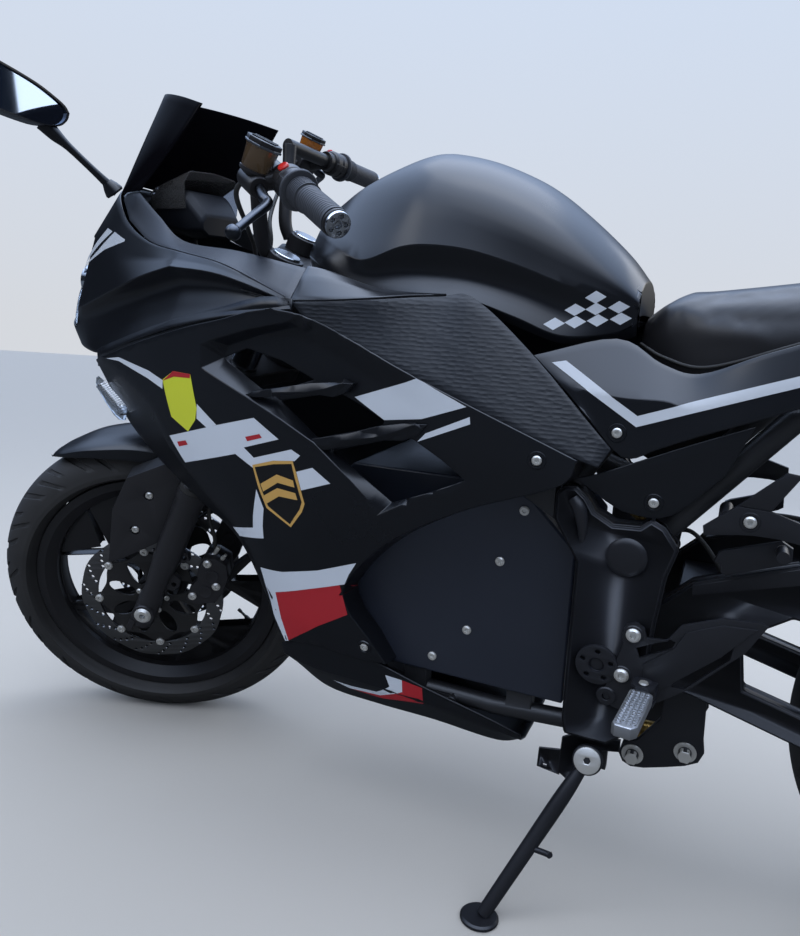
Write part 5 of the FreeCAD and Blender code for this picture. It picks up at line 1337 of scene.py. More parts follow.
scale_place = node(scaly_tree, "ShaderNodeMapping", {"Vector": scale_place, "Scale": (90, 90, 190)})
scale_cells = node(scaly_tree, "ShaderNodeTexVoronoi",
                   {"Vector": scale_place.outputs[0], "Scale": 1.0, "Randomness": 0.35})
scale_bump = node(scaly_tree, "ShaderNodeBump", {"Height": scale_cells.outputs["Distance"],
                                                 "Strength": 0.35, "Distance": 0.0012})
scaly_tree.links.new(scale_bump.outputs[0], scaly_tree.nodes["Principled BSDF"].inputs["Normal"])
infills = shell("side_infill", skin(weave(INFILL, 8, 8)), WALL, (600, 0, 760), scaly, "grained_plastic",
                BOTH, edge=1.0)
stands_for(infills, "side_infill_panels")
shell("upper_cover", skin(weave(UPPER, 5, 5, (1,))), WALL, (500, 0, 700), body_paint, "grained_plastic",
      BOTH, edge=1.0, fold=20)


# Belly pan: an open trough under the battery, its upper edges flanged and a sharp chine along each flank.
# A silver hook and a red stripe of vinyl mark each flank.
PAN_MIDDLE = (500, 0, 300)
PAN = [
    (350, 138, 288, 132, 268, 98, 240, 232),
    (413, 150.2, 312, 142, 262, 95, 206, 196),
    (500, 155.7, 313, 146, 262, 92, 198, 188),
    (600, 148, 282, 134, 248, 90, 196, 186),
    (701, 130, 247, 122, 228, 88, 190, 184),
    (744, 120, 228, 112, 216, 84, 204, 200),
]
rows = [[(x, 0, keel), (x, -fy, fz), (x, -cy, cz), (x, -ey, ez)]
        for x, ey, ez, cy, cz, fy, fz, keel in PAN]
pan_grid = weave(whole_width(rows), 6, 4, (), (1, 2, 4, 5))
stands_for(shell("belly_pan", skin(pan_grid), WALL, PAN_MIDDLE, body_paint, "black_bodywork",
                 edge=1.0, fold=20), "belly_pan")

left_pan = tree_of([row[len(row) // 2:] for row in pan_grid])
PAN_HOOK = [(541, 287), (568, 285), (566, 261), (520, 233), (465, 228), (440, 240), (471, 238),
            (518, 243), (546, 266)]
PAN_RED = [(568, 285), (600, 280), (597, 245), (520, 224), (465, 228), (520, 233), (566, 261)]
decals("pan_hook", [PAN_HOOK], left_pan, silver_vinyl, inside=PAN_MIDDLE)
decals("pan_red", [PAN_RED], left_pan, red_vinyl, inside=PAN_MIDDLE)


# Tail covers and lower side covers: two-facet mouldings under the seats with a hard fold between
# the facets, each held by a socket screw sunk in a round recess.
TAILS = [
    [(730, -150, 774), (823, -112, 798), (880, -122, 772), (924, -134, 764), (985, -146, 790),
     (1040, -150, 812), (1140, -146, 856), (1230, -110, 902), (1380, -96, 932), (1500, -70, 930),
     (1590, -34, 922)],
    [(768, -160, 742), (838, -160, 732), (890, -160, 732), (924, -162, 728), (990, -162, 752),
     (1040, -162, 770), (1145, -150, 806), (1240, -128, 846), (1380, -104, 888), (1500, -74, 904),
     (1590, -38, 908)],
    [(800, -166, 712), (851, -168, 662), (890, -168, 676), (924, -168, 692), (993, -168, 721),
     (1040, -166, 740), (1150, -152, 770), (1250, -130, 800), (1380, -104, 844), (1500, -72, 876),
     (1590, -38, 892)],
]
LOWER = [
    [(798, -163, 628), (830, -166, 640), (924, -164, 684), (990, -160, 712)],
    [(836, -160, 603), (864, -160, 592), (912, -160, 596), (966, -160, 652)],
]
TAIL_MIDDLE = (1100, 0, 700)
tail_grid = weave(TAILS, 6, 5, (1,))
stands_for(shell("tail_cover", skin(tail_grid), WALL, TAIL_MIDDLE, body_paint, "black_bodywork", BOTH,
                 edge=1.0, fold=24), "tail_covers")
lower_grid = weave(LOWER, 5, 6)
stands_for(shell("side_cover", skin(lower_grid), WALL, (900, 0, 640), body_paint, "black_bodywork", BOTH,
                 edge=1.0), "side_covers")
TAIL_STRIPE = [(754, 766), (770, 769), (863, 712), (1025, 771), (1110, 806), (1112, 794), (1026, 759),
               (863, 699)]
left_tail = tree_of(tail_grid)
decals("tail_stripe", [TAIL_STRIPE], left_tail, silver_vinyl, 0.9, TAIL_MIDDLE, 4)


# Body screws: zinc cap screws in the panels of both sides, each sunk in a round counterbore with a
# raised lip.
COUNTERBORE = [(0, 0.2), (7.4, 0.2), (8.6, 1.6), (10.6, 1.4), (11.4, 0), (11, -2), (0, -2)]
for label, base, x, z in (("rear", surface, 756, 652), ("low", surface, 513, 333),
                          ("tail", left_tail, 842, 690), ("side", tree_of(lower_grid), 892, 610)):
    at, way = lifted(base, x, z)
    for name, side in SIDES:
        seat_at, out = Vector((at.x, at.y * -side, at.z)), Vector((way.x, way.y * -side, way.z))
        made("counterbore_%s_%s" % (label, name), turned(COUNTERBORE, 32), body_paint, "black_bodywork",
             BIKE @ spot(seat_at, out))
        screws("body_screw_%s_%s" % (label, name), [(seat_at + out * 0.2, out)], radius=6, height=3)


# Pivot plates: cast black plates behind the battery, with a rounded ear at the front top, a stub for
# the rear frame's tube, a domed round cover and, at the swingarm's pivot, a cap with five holes.
PLATE = [(776, 606), (786, 616), (800, 616), (814, 604), (824, 588), (848, 575), (880, 577), (892, 588),
         (908, 580), (926, 556), (916, 520), (910, 458), (902, 330), (884, 292), (868, 278), (812, 278),
         (808, 300), (808, 520), (798, 536), (776, 572)]
PLATE_Y = 145
PLATE_FACE = 163
PIVOT = (846, 390)
DOME = [(0, 6), (10, 5.6), (18, 4.6), (23, 2.8), (25, 0.4), (25, 0), (25, -2), (0, -2)]
cast_paint = paint("cast_black", (0.011, 0.012, 0.016), 0.4, mottle=0.03, grain=0.1, gleam=0.45)
for name, side in SIDES:
    outward = (0, side, 0)
    casting = made("pivot_plate_" + name, plate([PLATE], 36, 1), cast_paint, "black_frame",
                   BIKE @ upright(side * PLATE_Y))
    break_edges(casting, 4, 40, 4)
    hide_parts("pivot_plates")
    made("plate_dome_" + name, turned(DOME, 48), cast_paint, "black_frame",
         BIKE @ spot((868, side * PLATE_FACE, 537), outward))
    rib = tube([(797, side * 160, 602), (806, side * 163, 590), (812, side * 162, 566),
                (812, side * 158, 540)], [8, 9, 7, 3], 16)
    boss = turned([(0, 6), (4, 6), (4, 2), (5, 2), (5, 8), (11, 8), (13, 6), (13, 0), (0, 0)], 28)
    details = gather([rib, (boss, spot((862, side * PLATE_FACE, 350), outward))])
    made("plate_details_" + name, details, cast_paint, "black_frame", edge=0.6)
    holes = [circle(x, z, 3.2, 16) for x, z in circle(*PIVOT, 18.5, 5, 0.3)]
    cap = gather([(plate([circle(*PIVOT, 26.5, 48), circle(*PIVOT, 9.5, 24)] + holes, 7, 1.2),
                   upright(side * (PLATE_FACE + 4.2))),
                  (turned([(0, 1), (8, 1), (9.4, 3), (9.4, 0), (0, 0)], 24),
                   spot((PIVOT[0], side * (PLATE_FACE + 1), PIVOT[1]), outward)),
                  (rod(25, 0.6, 0, 40), spot((PIVOT[0], side * (PLATE_FACE + 0.4), PIVOT[1]), outward))])
    made("pivot_cap_" + name, cap, cast_paint, "black_frame")


# Foot pegs: a black pressed bracket on two zinc screws, a black heel guard with a long slot, and a
# ribbed silver peg on a clevis. The brake pedal is on the right.
BRACKET_IN = 163.3
PEG_AT, PEG_WAY = Vector((908, -167.3, 372)), Vector((-10, -118, 4)).normalized()
GUARD = [(868, 338), (884, 334), (925, 358), (959, 385), (994, 425), (1013, 446), (1033, 484),
         (1026, 487), (985, 484), (940, 465), (926, 442), (903, 440), (899, 452), (889, 458), (877, 452),
         (873, 438), (876, 426), (868, 395), (866, 380), (860, 365), (858, 350)]
WINDOW = [(892, 424), (897, 412), (932, 432), (936, 442), (930, 444), (903, 430)]
PEG = [(-6, 12), (6, 12), (8, 22), (14, 27), (14, 112), (8, 121), (-10, 121), (-14, 116), (-14, 27),
       (-8, 22)]
SLOT = [(938, 383), (952, 383), (998, 434), (1000, 450), (992, 446), (940, 395)]
GUARD_FACE = [(905, 372), (922, 372), (990, 436), (1024, 480), (986, 478), (946, 460), (934, 436),
              (900, 404)]
GUARD_SCREWS = ((887, 441), (878, 384))
CLEVIS_EAR = [(-15, 4), (-11, -2), (11, -2), (15, 4), (14, 22), (8, 27), (-8, 27), (-14, 22)]
STUD_ROWS, STUD_COLUMNS = 13, 4
guard_paint = paint("guard_black", (0.012, 0.013, 0.017), 0.38, mottle=0.03, grain=0.05, gleam=0.45)
cast_alloy = paint("cast_alloy", (0.50, 0.51, 0.53), 0.42, metal=0.9, mottle=0.08, tone=1.15, grain=0.2,
                   scuff=0.2)
for name, side in SIDES:
    base_at = BIKE if side == LEFT else BIKE @ Matrix.Scale(-1, 4, (0, 1, 0))
    guard = made("heel_guard_" + name, plate([GUARD, WINDOW, SLOT], 5, 0.8), guard_paint, "black_frame",
                 base_at @ upright(-BRACKET_IN - 3.1))
    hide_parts("footpegs")
    made("guard_face_" + name, plate([shrunk(GUARD_FACE, 2)], 2.4, 1), guard_paint, "black_frame",
         base_at @ upright(-BRACKET_IN - 6.6))
    bosses = gather([(turned([(0, 0), (13, 0), (13, 5), (11, 6.6), (0, 6.6)], 28),
                      spot((x, -BRACKET_IN, z), (0, -1, 0))) for x, z in GUARD_SCREWS])
    made("guard_bosses_" + name, bosses, guard_paint, "black_frame", base_at)
    screws("guard_screws_" + name, [((x, -BRACKET_IN - 6.4, z), (0, -1, 0)) for x, z in GUARD_SCREWS],
           base_at, radius=9, height=5)
    clevis_at = base_at @ spot(PEG_AT, PEG_WAY)
    clevis = gather([turned([(0, 0), (16, 0), (16, 8), (14, 12), (9, 14), (0, 14)], 28)]
                    + [(plate([CLEVIS_EAR], 5, 0.8), upright(aside)) for aside in (11, -11)])
    made("peg_clevis_" + name, clevis, guard_paint, "bare_aluminium", clevis_at)
    pin = turned([(0, -17), (5, -17), (6, -15), (4, -14), (4, 14), (6, 15), (6, 18), (0, 18)], 16)
    made("peg_pin_" + name, pin, zinc, "steel", clevis_at @ Matrix.Translation((0, 0, 18)) @ upright(0))
    peg_bar = [(plate([PEG], 15, 2), upright(0))]
    for row in range(STUD_ROWS):
        for col in range(STUD_COLUMNS):
            stud = bmesh.new()
            bmesh.ops.create_cone(stud, cap_ends=True, segments=4, radius1=2.6, radius2=1.6, depth=19)
            peg_bar.append((stud, Matrix.Translation((-9 + col * 6, 0, 32 + row * 6.6)) @ upright(0)))
    made("peg_" + name, gather(peg_bar), cast_alloy, "bare_aluminium", clevis_at, edge=0.3, angle=24)
pedal_arm = tube([(905, 170.3, 350), (830, 177, 338), (790, 207, 346)], 5.8, 16, 8)
pad = turned([(0, -16), (8, -16), (9, -14), (9, 14), (8, 16), (0, 16)], 20)
pedal = gather([pedal_arm, (pad, spot((790, 205, 346), (0.2, 1, 0))),
                (rod(9, 0, 14, 24), spot((905, 165, 350), (0, 1, 0)))])
made("brake_pedal", pedal, guard_paint, "bare_aluminium", edge=0.5)


# Swingarm: two deep box beams with rounded edges round a window, a flat top cover on each, a bridge
# between them and the axle's adjusters with their zinc bolts.
AXLE_AT = (WHEELBASE, REAR_RADIUS)
BEAM = [(824, 413), (870, 430), (912, 468), (945, 500), (1062, 544), (1130, 520), (1340, 352),
        (1433, 341), (1434, 289), (1340, 283), (1130, 300), (961, 347), (826, 367)]
BEAM_WINDOW = [(1010, 440), (1062, 477), (1112, 469), (1179, 420), (1179, 352), (1130, 341), (1020, 370)]
TOP_COVER = [(946, 484), (1062, 520), (1122, 502), (1130, 520), (1062, 544), (945, 501)]
BEAM_MIDDLE = 99
solids = []
for side in BOTH:
    solids.append((plate([BEAM, BEAM_WINDOW, circle(*AXLE_AT, 9.4, 32)], 26, 1),
                   upright(side * BEAM_MIDDLE)))
    solids.append((rod(10, -2, 3, 24), spot((PIVOT[0], side * 164, PIVOT[1]), (0, side, 0))))
bridge = bmesh.new()
bmesh.ops.create_cube(bridge, size=1, matrix=Matrix.Translation((950, 0, 410))
                      @ Matrix.Diagonal((50, 172, 110, 1)))
pin = rod(10, -163, 163, 24)
solids += [bridge, (pin, spot((PIVOT[0], 0, PIVOT[1]), (0, 1, 0)))]
arm = made("swingarm_beams", gather(solids), cast_paint, "black_frame")
break_edges(arm, 3, 40, 3)
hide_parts("swingarm")
covers = gather([(plate([TOP_COVER], 3, 1.2), upright(side * 111)) for side in BOTH])
made("swingarm_covers", covers, guard_paint, "black_frame")
ADJUSTER = [(1385, 332), (1425, 332), (1425, 297), (1385, 297)]
blocks = gather([(plate([ADJUSTER, circle(*AXLE_AT, 9.6, 32)], 3, 0.6), upright(side * 110.6))
                 for side in BOTH])
made("axle_adjusters", blocks, cast_alloy, "steel")
screws("adjuster_screws", [((1434, side * 99, 315), (1, 0, 0)) for side in BOTH], radius=6, height=8)


# Rear shock and linkage: a gold damper body with a black coil spring on a chromed rod, on a pair of
# black link plates with zinc bolts. The spring's turns are one path walked up the damper.
SHOCK_EYE, SHOCK_TOP = Vector((895, 0, 216)), Vector((872, 0, 596))
gold = paint("gold_anodised", (0.62, 0.40, 0.12), 0.28, metal=0.95, mottle=0.05, tone=1.15, scuff=0.1)
spring_paint = paint("spring_black", (0.015, 0.014, 0.014), 0.3, mottle=0.04)
stand_of = spot(SHOCK_EYE, (SHOCK_TOP - SHOCK_EYE).normalized())
damper = turned([(0, 160), (13, 160), (14, 162), (14, 172), (26, 174), (26.5, 178), (26.5, 186),
                 (24, 188), (19, 190), (19, 330), (24, 332), (26.5, 334), (26.5, 348), (22, 352),
                 (12, 356), (10, 370), (0, 370)], 40)
ends = [(turned([(0, -24), (11, -24), (12, -22), (12, 22), (11, 24), (0, 24)], 28),
         Matrix.Translation((0, 0, 380.7)) @ upright(0)),
        (turned([(0, -59), (13, -59), (15, -57), (15, 57), (13, 59), (0, 59)], 28), upright(0))]
shock = made("shock_damper", gather([damper] + ends), gold, "gold_anodised", BIKE @ stand_of)
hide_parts("rear_shock")
made("shock_rod", rod(7, 12, 165, 24), tube_chrome, "gold_anodised", BIKE @ stand_of)
TURNS, PER_TURN, COIL_RADIUS, WIRE = 5.5, 20, 22.8, 3.9
coil = []
for i in range(int(TURNS * PER_TURN) + 1):
    angle = 2 * math.pi * i / PER_TURN
    coil.append((COIL_RADIUS * math.cos(angle), COIL_RADIUS * math.sin(angle),
                 193 + 136 * i / (TURNS * PER_TURN)))
made("shock_spring", tube(coil, WIRE, 10, 1), spring_paint, "gold_anodised", BIKE @ stand_of)
LINK = [(876, 212), (882, 200), (894, 195), (912, 198), (940, 208), (965, 218), (981, 228), (987, 244),
        (984, 262), (980, 354), (931, 354), (926, 280), (900, 240), (880, 230)]
LINK_BOLTS = ((895, 216), (963, 240))
links = [(plate([LINK], 10, 1.5), upright(side * 65)) for side in BOTH]
bars = [(rod(9, -84, 84, 24), spot((963, 0, 240), (0, 1, 0)))]
bars += [(rod(9, 60, 84, 24), spot((895, 0, 216), (0, side, 0))) for side in BOTH]
linkage = made("link_plates", gather(links + bars), cast_paint, "bare_aluminium")
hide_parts("shock_linkage")
washers = gather([(rod(15, 0, 2, 32), spot((x, side * 70.2, z), (0, side, 0)))
                  for x, z in LINK_BOLTS for side in BOTH])
made("link_washers", washers, zinc, "steel", edge=0.4)
nuts = gather([(turned([(0, 0), (10, 0), (10, 8), (9, 9), (0, 9)], 6),
                spot((x, side * 76, z), (0, side, 0))) for x, z in LINK_BOLTS for side in BOTH])
made("link_nuts", nuts, zinc, "steel", edge=0.4)
made("shock_hose", tube([(905, -40, 540), (935, -62, 552), (968, -70, 520), (985, -60, 470),
                         (975, -30, 440)], 3, 10, 10), seal_rubber, "black_frame")


# Side stand: a forged black leg with a flattened eye on a zinc shoulder bolt, a foot, a small tang for
# the boot and the stand switch on its bracket.
STAND_PIVOT, STAND_FOOT = Vector((846, -158, 246)), Vector((740, -258, 30))
down = (STAND_FOOT - STAND_PIVOT).normalized()
stand_pin = Vector((0.972, -0.03, -0.233)).cross(down).normalized()
if stand_pin.y > 0:
    stand_pin = -stand_pin
leg_out = tube([STAND_PIVOT + down * 8, STAND_PIVOT + down * 60, STAND_PIVOT + down * 150,
                STAND_FOOT - down * 10], [7.4, 10.6, 10.2, 9.4], 20)
eye_of_leg = turned([(7.3, -8), (18, -8), (20, -6), (20, 6), (18, 8), (7.3, 8)], 36, closed=True)
foot_ground = BIKE @ STAND_FOOT
pad = turned([(0, 0.2), (24, 0.2), (26, 1.5), (26, 4.5), (23, 7), (9, 7), (0, 7)], 36)
bmesh.ops.transform(pad, matrix=BIKE.inverted() @ Matrix.Translation((foot_ground.x, foot_ground.y, 0))
                    @ Matrix.Scale(MM, 4), verts=pad.verts)
tang = tube([STAND_PIVOT + down * 142, STAND_PIVOT + down * 142 + Vector((26, -6, 4)),
             STAND_PIVOT + down * 140 + Vector((30, -10, 4))], [4, 4, 4.4], 14)
stand_parts = gather([leg_out, (eye_of_leg, spot(STAND_PIVOT, stand_pin)), pad,
                      tang])
stand = made("stand_leg", stand_parts, cast_paint, slot_of["side_stand"], body="side_stand", edge=0.6)
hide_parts("side_stand")
bolt_head = plate([circle(0, 0, 17.5, 48), circle(0, 0, 4.6, 6)], 4.5, 1.4)
stand_bolt = gather([(bolt_head, Matrix.Translation((0, 0, 11))), rod(8, 4, 9.4, 24)])
made("stand_bolt", stand_bolt, zinc, "steel", BIKE @ spot(STAND_PIVOT, stand_pin), edge=0.5)
STAND_PLATE = [(808, 262), (820, 270), (884, 280), (884, 262), (866, 258), (852, 246), (850, 222),
               (832, 214), (824, 196), (806, 208)]
SWITCH_PLATE = [(777, 234), (808, 240), (808, 200), (776, 204)]
bracket = gather([(plate([STAND_PLATE], 4, 0.8), upright(-146)),
                  (plate([SWITCH_PLATE, [(784, 211), (790, 211), (790, 208), (784, 208)]], 3, 0.6),
                   upright(-142))])
made("stand_bracket_plate", bracket, guard_paint, "black_frame", edge=0.8)


# Rear brake caliper, on the right: two black blocks that straddle the disc, with a round piston cap,
# and a hose along the swingarm.
REAR_CALIPER = [(1252, 356), (1318, 356), (1322, 366), (1322, 402), (1314, 410), (1262, 410), (1252, 398)]
rear_caliper = gather([(plate([REAR_CALIPER], 16, 2), upright(REAR_DISC_OFFSET + 13.5)),
                       (plate([REAR_CALIPER], 15, 2), upright(REAR_DISC_OFFSET - 12.5)),
                       (turned([(0, 0), (16, 0), (16, 2), (13, 3), (10, 1.5), (0, 1.5)], 32),
                        spot((1288, REAR_DISC_OFFSET + 21, 382), (0, 1, 0)))])
brake = made("rear_brake_caliper", rear_caliper, leg_paint, slot_of["rear_caliper"])
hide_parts("rear_caliper")
made("rear_brake_hose", tube([(1256, REAR_DISC_OFFSET + 10, 396), (1200, 92, 430), (1130, 99, 526),
                              (1040, 99, 548), (960, 90, 520), (905, 110, 420)], 3.4, 12, 10),
     seal_rubber, "black_frame")


# Hangers behind the pivot plates: a pressed plate for the passenger's peg bracket with a bolt in a
# round hollow, a ribbed strut below it.
HANGER = [(949, 590), (983, 620), (1018, 618), (1050, 608), (1052, 584), (1026, 587), (1005, 587),
          (985, 585), (951, 579)]
HANGER_ARM = [(983, 620), (1028, 664), (1044, 662), (1018, 618)]
STRUT = [(970, 552), (977, 556), (1036, 577), (1048, 570), (1049, 554), (1042, 549), (981, 524),
         (975, 528), (973, 538), (966, 540)]
for name, side in SIDES:
    face = (0, side, 0)
    hanger = gather([(plate([HANGER], 6, 1.5), upright(side * 158)),
                     (plate([HANGER_ARM], 6, 1.5), upright(side * 158)),
                     (plate([STRUT], 8, 1.5), upright(side * 128)),
                     (rod(8, -46, 0, 20), spot((972, side * 156, 603), face)),
                     (rod(7, -10, 30, 20), spot((1037, side * 128, 566), face)),
                     (turned(COUNTERBORE, 36), spot((998, side * 161, 603), face))])
    made("peg_hanger_" + name, hanger, guard_paint, "black_frame")
    screws("hanger_screws_" + name, [((998, side * 161.6, 603), face), ((1037, side * 132, 566), face)],
           radius=7, height=4)


# Seats: foam under smooth black vinyl, crowned and waisted at the front, with a welt along the seam.
# Cloth under pressure swells the cover over the foam; its flat underside stays on the base.
SEAT = [
    (846, 822, 62, 66, 790, 762),
    (880, 848, 84, 92, 776, 742),
    (931, 854, 104, 117, 770, 745),
    (1018, 866, 121, 134, 802, 756),
    (1110, 881, 117, 132, 838, 769),
    (1178, 901, 103, 116, 864, 790),
]
PILLION = [
    (1198, 928, 87, 91, 874, 795),
    (1250, 953, 97, 95, 886, 812),
    (1360, 965, 91, 85, 904, 841),
    (1466, 963, 65, 54, 916, 869),
]
seat_vinyl = paint("seat_vinyl", (0.010, 0.010, 0.012), 0.36, mottle=0.04, grain=0.25, grain_mm=1.1,
                   gleam=0.5)
SKIN_CELL = 0.005
CLOTH_STEPS = 20
PRESSURE = 4
SOFTENING = 6
BASE_BAND = 8


def swollen(piece, held, cap):
    """Swells a cushion's skin under pressure by no more than the cap, with its underside held."""
    scene = bpy.context.scene
    rest = [vert.co.copy() for vert in piece.data.vertices]
    inward = BIKE.inverted()
    group = piece.vertex_groups.new(name="held")
    group.add([i for i, co in enumerate(rest) if held(inward @ co)], 1, "REPLACE")
    cloth = piece.modifiers.new("swell", "CLOTH")
    cloth.settings.quality = 5
    cloth.settings.use_pressure = True
    cloth.settings.uniform_pressure_force = PRESSURE
    cloth.settings.vertex_group_mass = "held"
    cloth.settings.effector_weights.gravity = 0
    for step in range(1, CLOTH_STEPS + 1):
        scene.frame_set(step)
    result = bpy.data.meshes.new_from_object(piece.evaluated_get(bpy.context.evaluated_depsgraph_get()))
    for vert, pressed in zip(piece.data.vertices, result.vertices):
        move = pressed.co - vert.co
        vert.co += move.normalized() * min(move.length, cap * MM)
    piece.modifiers.remove(cloth)
    bpy.data.meshes.remove(result)
    scene.frame_set(1)


def cushion(name, sections, part, cap=5):
    """A foam cushion from sections: x, top, half width, half width and height of its seam, base."""
    rows = []
    for x, top, wide, seam_wide, seam, low in sections:
        rows.append([Vector(p) for p in ((x, 0, top), (x, -wide * 0.7, top - 4),
                                         (x, -wide + 2, top - 18), (x, -seam_wide + 3, seam),
                                         (x, -seam_wide + 7, low + 2), (x, 0, low + 2))])
    half = [curve_through(row, 6, (4,)) for row in rows]
    loops = [row + [Vector((p.x, -p.y, p.z)) for p in row[-2:0:-1]] for row in half]
    columns = [curve_through([loop[i] for loop in loops], 8) for i in range(len(loops[0]))]
    grid = [list(row) for row in zip(*columns)]
    solid = skin(grid, closed=True)
    for end in (grid[0], grid[-1]):
        rim = [v for v in solid.verts if abs(v.co.x - end[0].x) < 1e-3]
        rim.sort(key=lambda v: math.atan2(v.co.z - (end[0].z + end[-1].z) / 2 + 20, v.co.y))
        solid.faces.new(rim)
    piece = made(name, solid, seat_vinyl, slot_of[part], angle=60)
    voxels = piece.modifiers.new("skin", "REMESH")
    voxels.mode = "VOXEL"
    voxels.voxel_size = SKIN_CELL
    voxels.use_smooth_shade = True
    fine = bpy.data.meshes.new_from_object(piece.evaluated_get(bpy.context.evaluated_depsgraph_get()))
    piece.modifiers.remove(voxels)
    piece.data = fine
    lows = [section[-1] for section in sections]
    swollen(piece, lambda p: p.z < min(lows, key=lambda low: abs(low - p.z)) + BASE_BAND, cap)
    softer = piece.modifiers.new("softer", "SMOOTH")
    softer.iterations = SOFTENING
    finer_skin = piece.modifiers.new("finer", "SUBSURF")
    finer_skin.levels = 1
    finer_skin.render_levels = 1
    fine.shade_smooth()
    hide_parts(part)
    for label, side in SIDES:
        seam_line = [(x, side * (seam_wide - 2.5), seam)
                     for x, top, wide, seam_wide, seam, low in sections]
        made(name + "_welt_" + label, tube(seam_line, 2.2, 10, 8), seal_rubber, slot_of[part])


cushion("rider_cushion", SEAT, "rider_seat")
cushion("pillion_cushion", PILLION, "pillion_seat")


# Tail: a red lamp set in a black rim, a textured mudguard tray on a hanger with a blank plate, and
# an indicator pod with an amber lens on each side. The photo doesn't show them.
red_lens = paint("red_lens", (0.30, 0.006, 0.008), 0.1, mottle=0.02, tone=1.2, coat=0.8)
amber_lens = paint("amber_lens", (0.55, 0.16, 0.01), 0.12, mottle=0.02, tone=1.2, coat=0.8)
machined("tail_light", red_lens, edge=3)
machined("rear_mudguard", grained, edge=1.5)
plate_mount = next(mount for mount in frame["record"]["mounts"] if mount["name"] == "number_plate")
plate_face = Vector(plate_mount["axis"])
level_way = across - plate_face * across.dot(plate_face)
plate_up = plate_face.cross(level_way.normalized())
PLATE_HALF = (95, 65)


def rounded(half_wide, half_tall, radius, steps=6):
    """A rectangle with rounded corners, about its middle."""
    out = []
    for turn, (sx, sy) in enumerate(((1, 1), (-1, 1), (-1, -1), (1, -1))):
        for k in range(steps + 1):
            angle = math.radians(90 * turn + 90 * k / steps)
            out.append((sx * (half_wide - radius) + radius * math.cos(angle),
                        sy * (half_tall - radius) + radius * math.sin(angle)))
    return out


stand_plate = Matrix((level_way.normalized(), plate_up, plate_face)).transposed().to_4x4()
stand_plate.translation = Vector(plate_mount["pos_m"])
plate_white = paint("plate_white", (0.62, 0.62, 0.60), 0.4, mottle=0.04)
blank = gather([(plate([rounded(*PLATE_HALF, 10)], 1, 0.3), Matrix.Translation((0, 0, 0.6))),
                (plate([rounded(92, 62, 8), rounded(89.5, 59.5, 6)], 0.8, 0.3),
                 Matrix.Translation((0, 0, 1.4)))])
made("blank_plate", blank, plate_white, "grained_plastic", stand_plate @ Matrix.Scale(MM, 4))
POD = [(0, -2), (7, -1), (9, 2), (12.5, 18), (15, 34), (15, 35), (0, 35)]
POD_LENS = [(0, 34.5), (14.8, 34.5), (16, 38), (15.6, 42), (12, 45), (6, 46), (0, 46)]
for name, side in SIDES:
    pod_at = BIKE @ spot((1626, side * 90, 748), (1, 0, 0))
    pod = made("rear_pod_" + name, turned(POD, 32), grained, "amber_lens", pod_at)
    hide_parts("rear_indicators")
    made("rear_pod_lens_" + name, turned(POD_LENS, 32), amber_lens, "amber_lens", pod_at)
    stalk = tube([(1634, side * 22, 742), (1635, side * 50, 743), (1636, side * 84, 746)], 5.4, 14)
    made("rear_pod_stalk_" + name, stalk, seal_rubber, "amber_lens")


# Front indicators: long faceted clear lenses on the front edge of the fairings' flanges, over a
# ribbed bright reflector.
FRONT_LENS = [(-9, 690), (13, 682), (67, 650), (68, 644), (59, 624), (44, 623), (12, 650), (-15, 680)]
LENS_OUT = Vector((-0.32, -0.94, -0.14))
LENS_Y = -141
foot = [Vector((x, LENS_Y - 0.34 * (x - 10) - 0.15 * (z - 670), z)) for x, z in FRONT_LENS]
middle = sum(foot, Vector()) / len(foot)
facets = [[p + (middle - p) * pull + LENS_OUT * out for p in foot]
          for pull, out in ((0, 0), (0.02, 5), (0.30, 10), (0.55, 11.5))]
lens_solid = skin(facets, closed=True)
for loop in (facets[0], facets[-1]):
    lens_solid.faces.new([min(lens_solid.verts, key=lambda v: (v.co - p).length) for p in loop])
stands_for(shell("front_lens", lens_solid, 0, tuple(middle + LENS_OUT * 3), clear, "clear_lens", BOTH,
                 edge=0.5, fold=12, angle=5), "front_indicators")
ribs = bmesh.new()
long_way = (foot[2] - foot[1]).normalized()
for i in range(16):
    at = foot[0].lerp(foot[3], 0.08 + 0.055 * i) + (foot[6] - foot[1]) * 0.4 + LENS_OUT * 2.5
    bmesh.ops.create_cube(ribs, size=1, matrix=spot(at, long_way) @ Matrix.Diagonal((15, 4, 2.4, 1)))
shell("front_lens_ribs", ribs, 0, (200, 0, 640), lamp_chrome, "clear_lens", BOTH, edge=0)


# Mirrors: a folding black stalk in a boot on each side of the screen, with an oval black head and a
# tilted glass facing the rider.
# The glass's metal is tinted light blue: a painted reflection of a blue sky, not the glass's own colour.
painted_sky_mirror = paint("painted_sky_mirror", (0.50, 0.62, 0.84), 0.03, metal=1.0, mottle=0.0, tone=1.0)
HEAD_OUTLINE = [(-88, 8), (-82, -4), (-66, -14), (-33, -18), (20, -13), (60, -8), (80, 2), (88, 24),
                (80, 48), (60, 58), (22, 52), (-28, 40), (-60, 28), (-80, 18)]
HEAD_REACH = 88
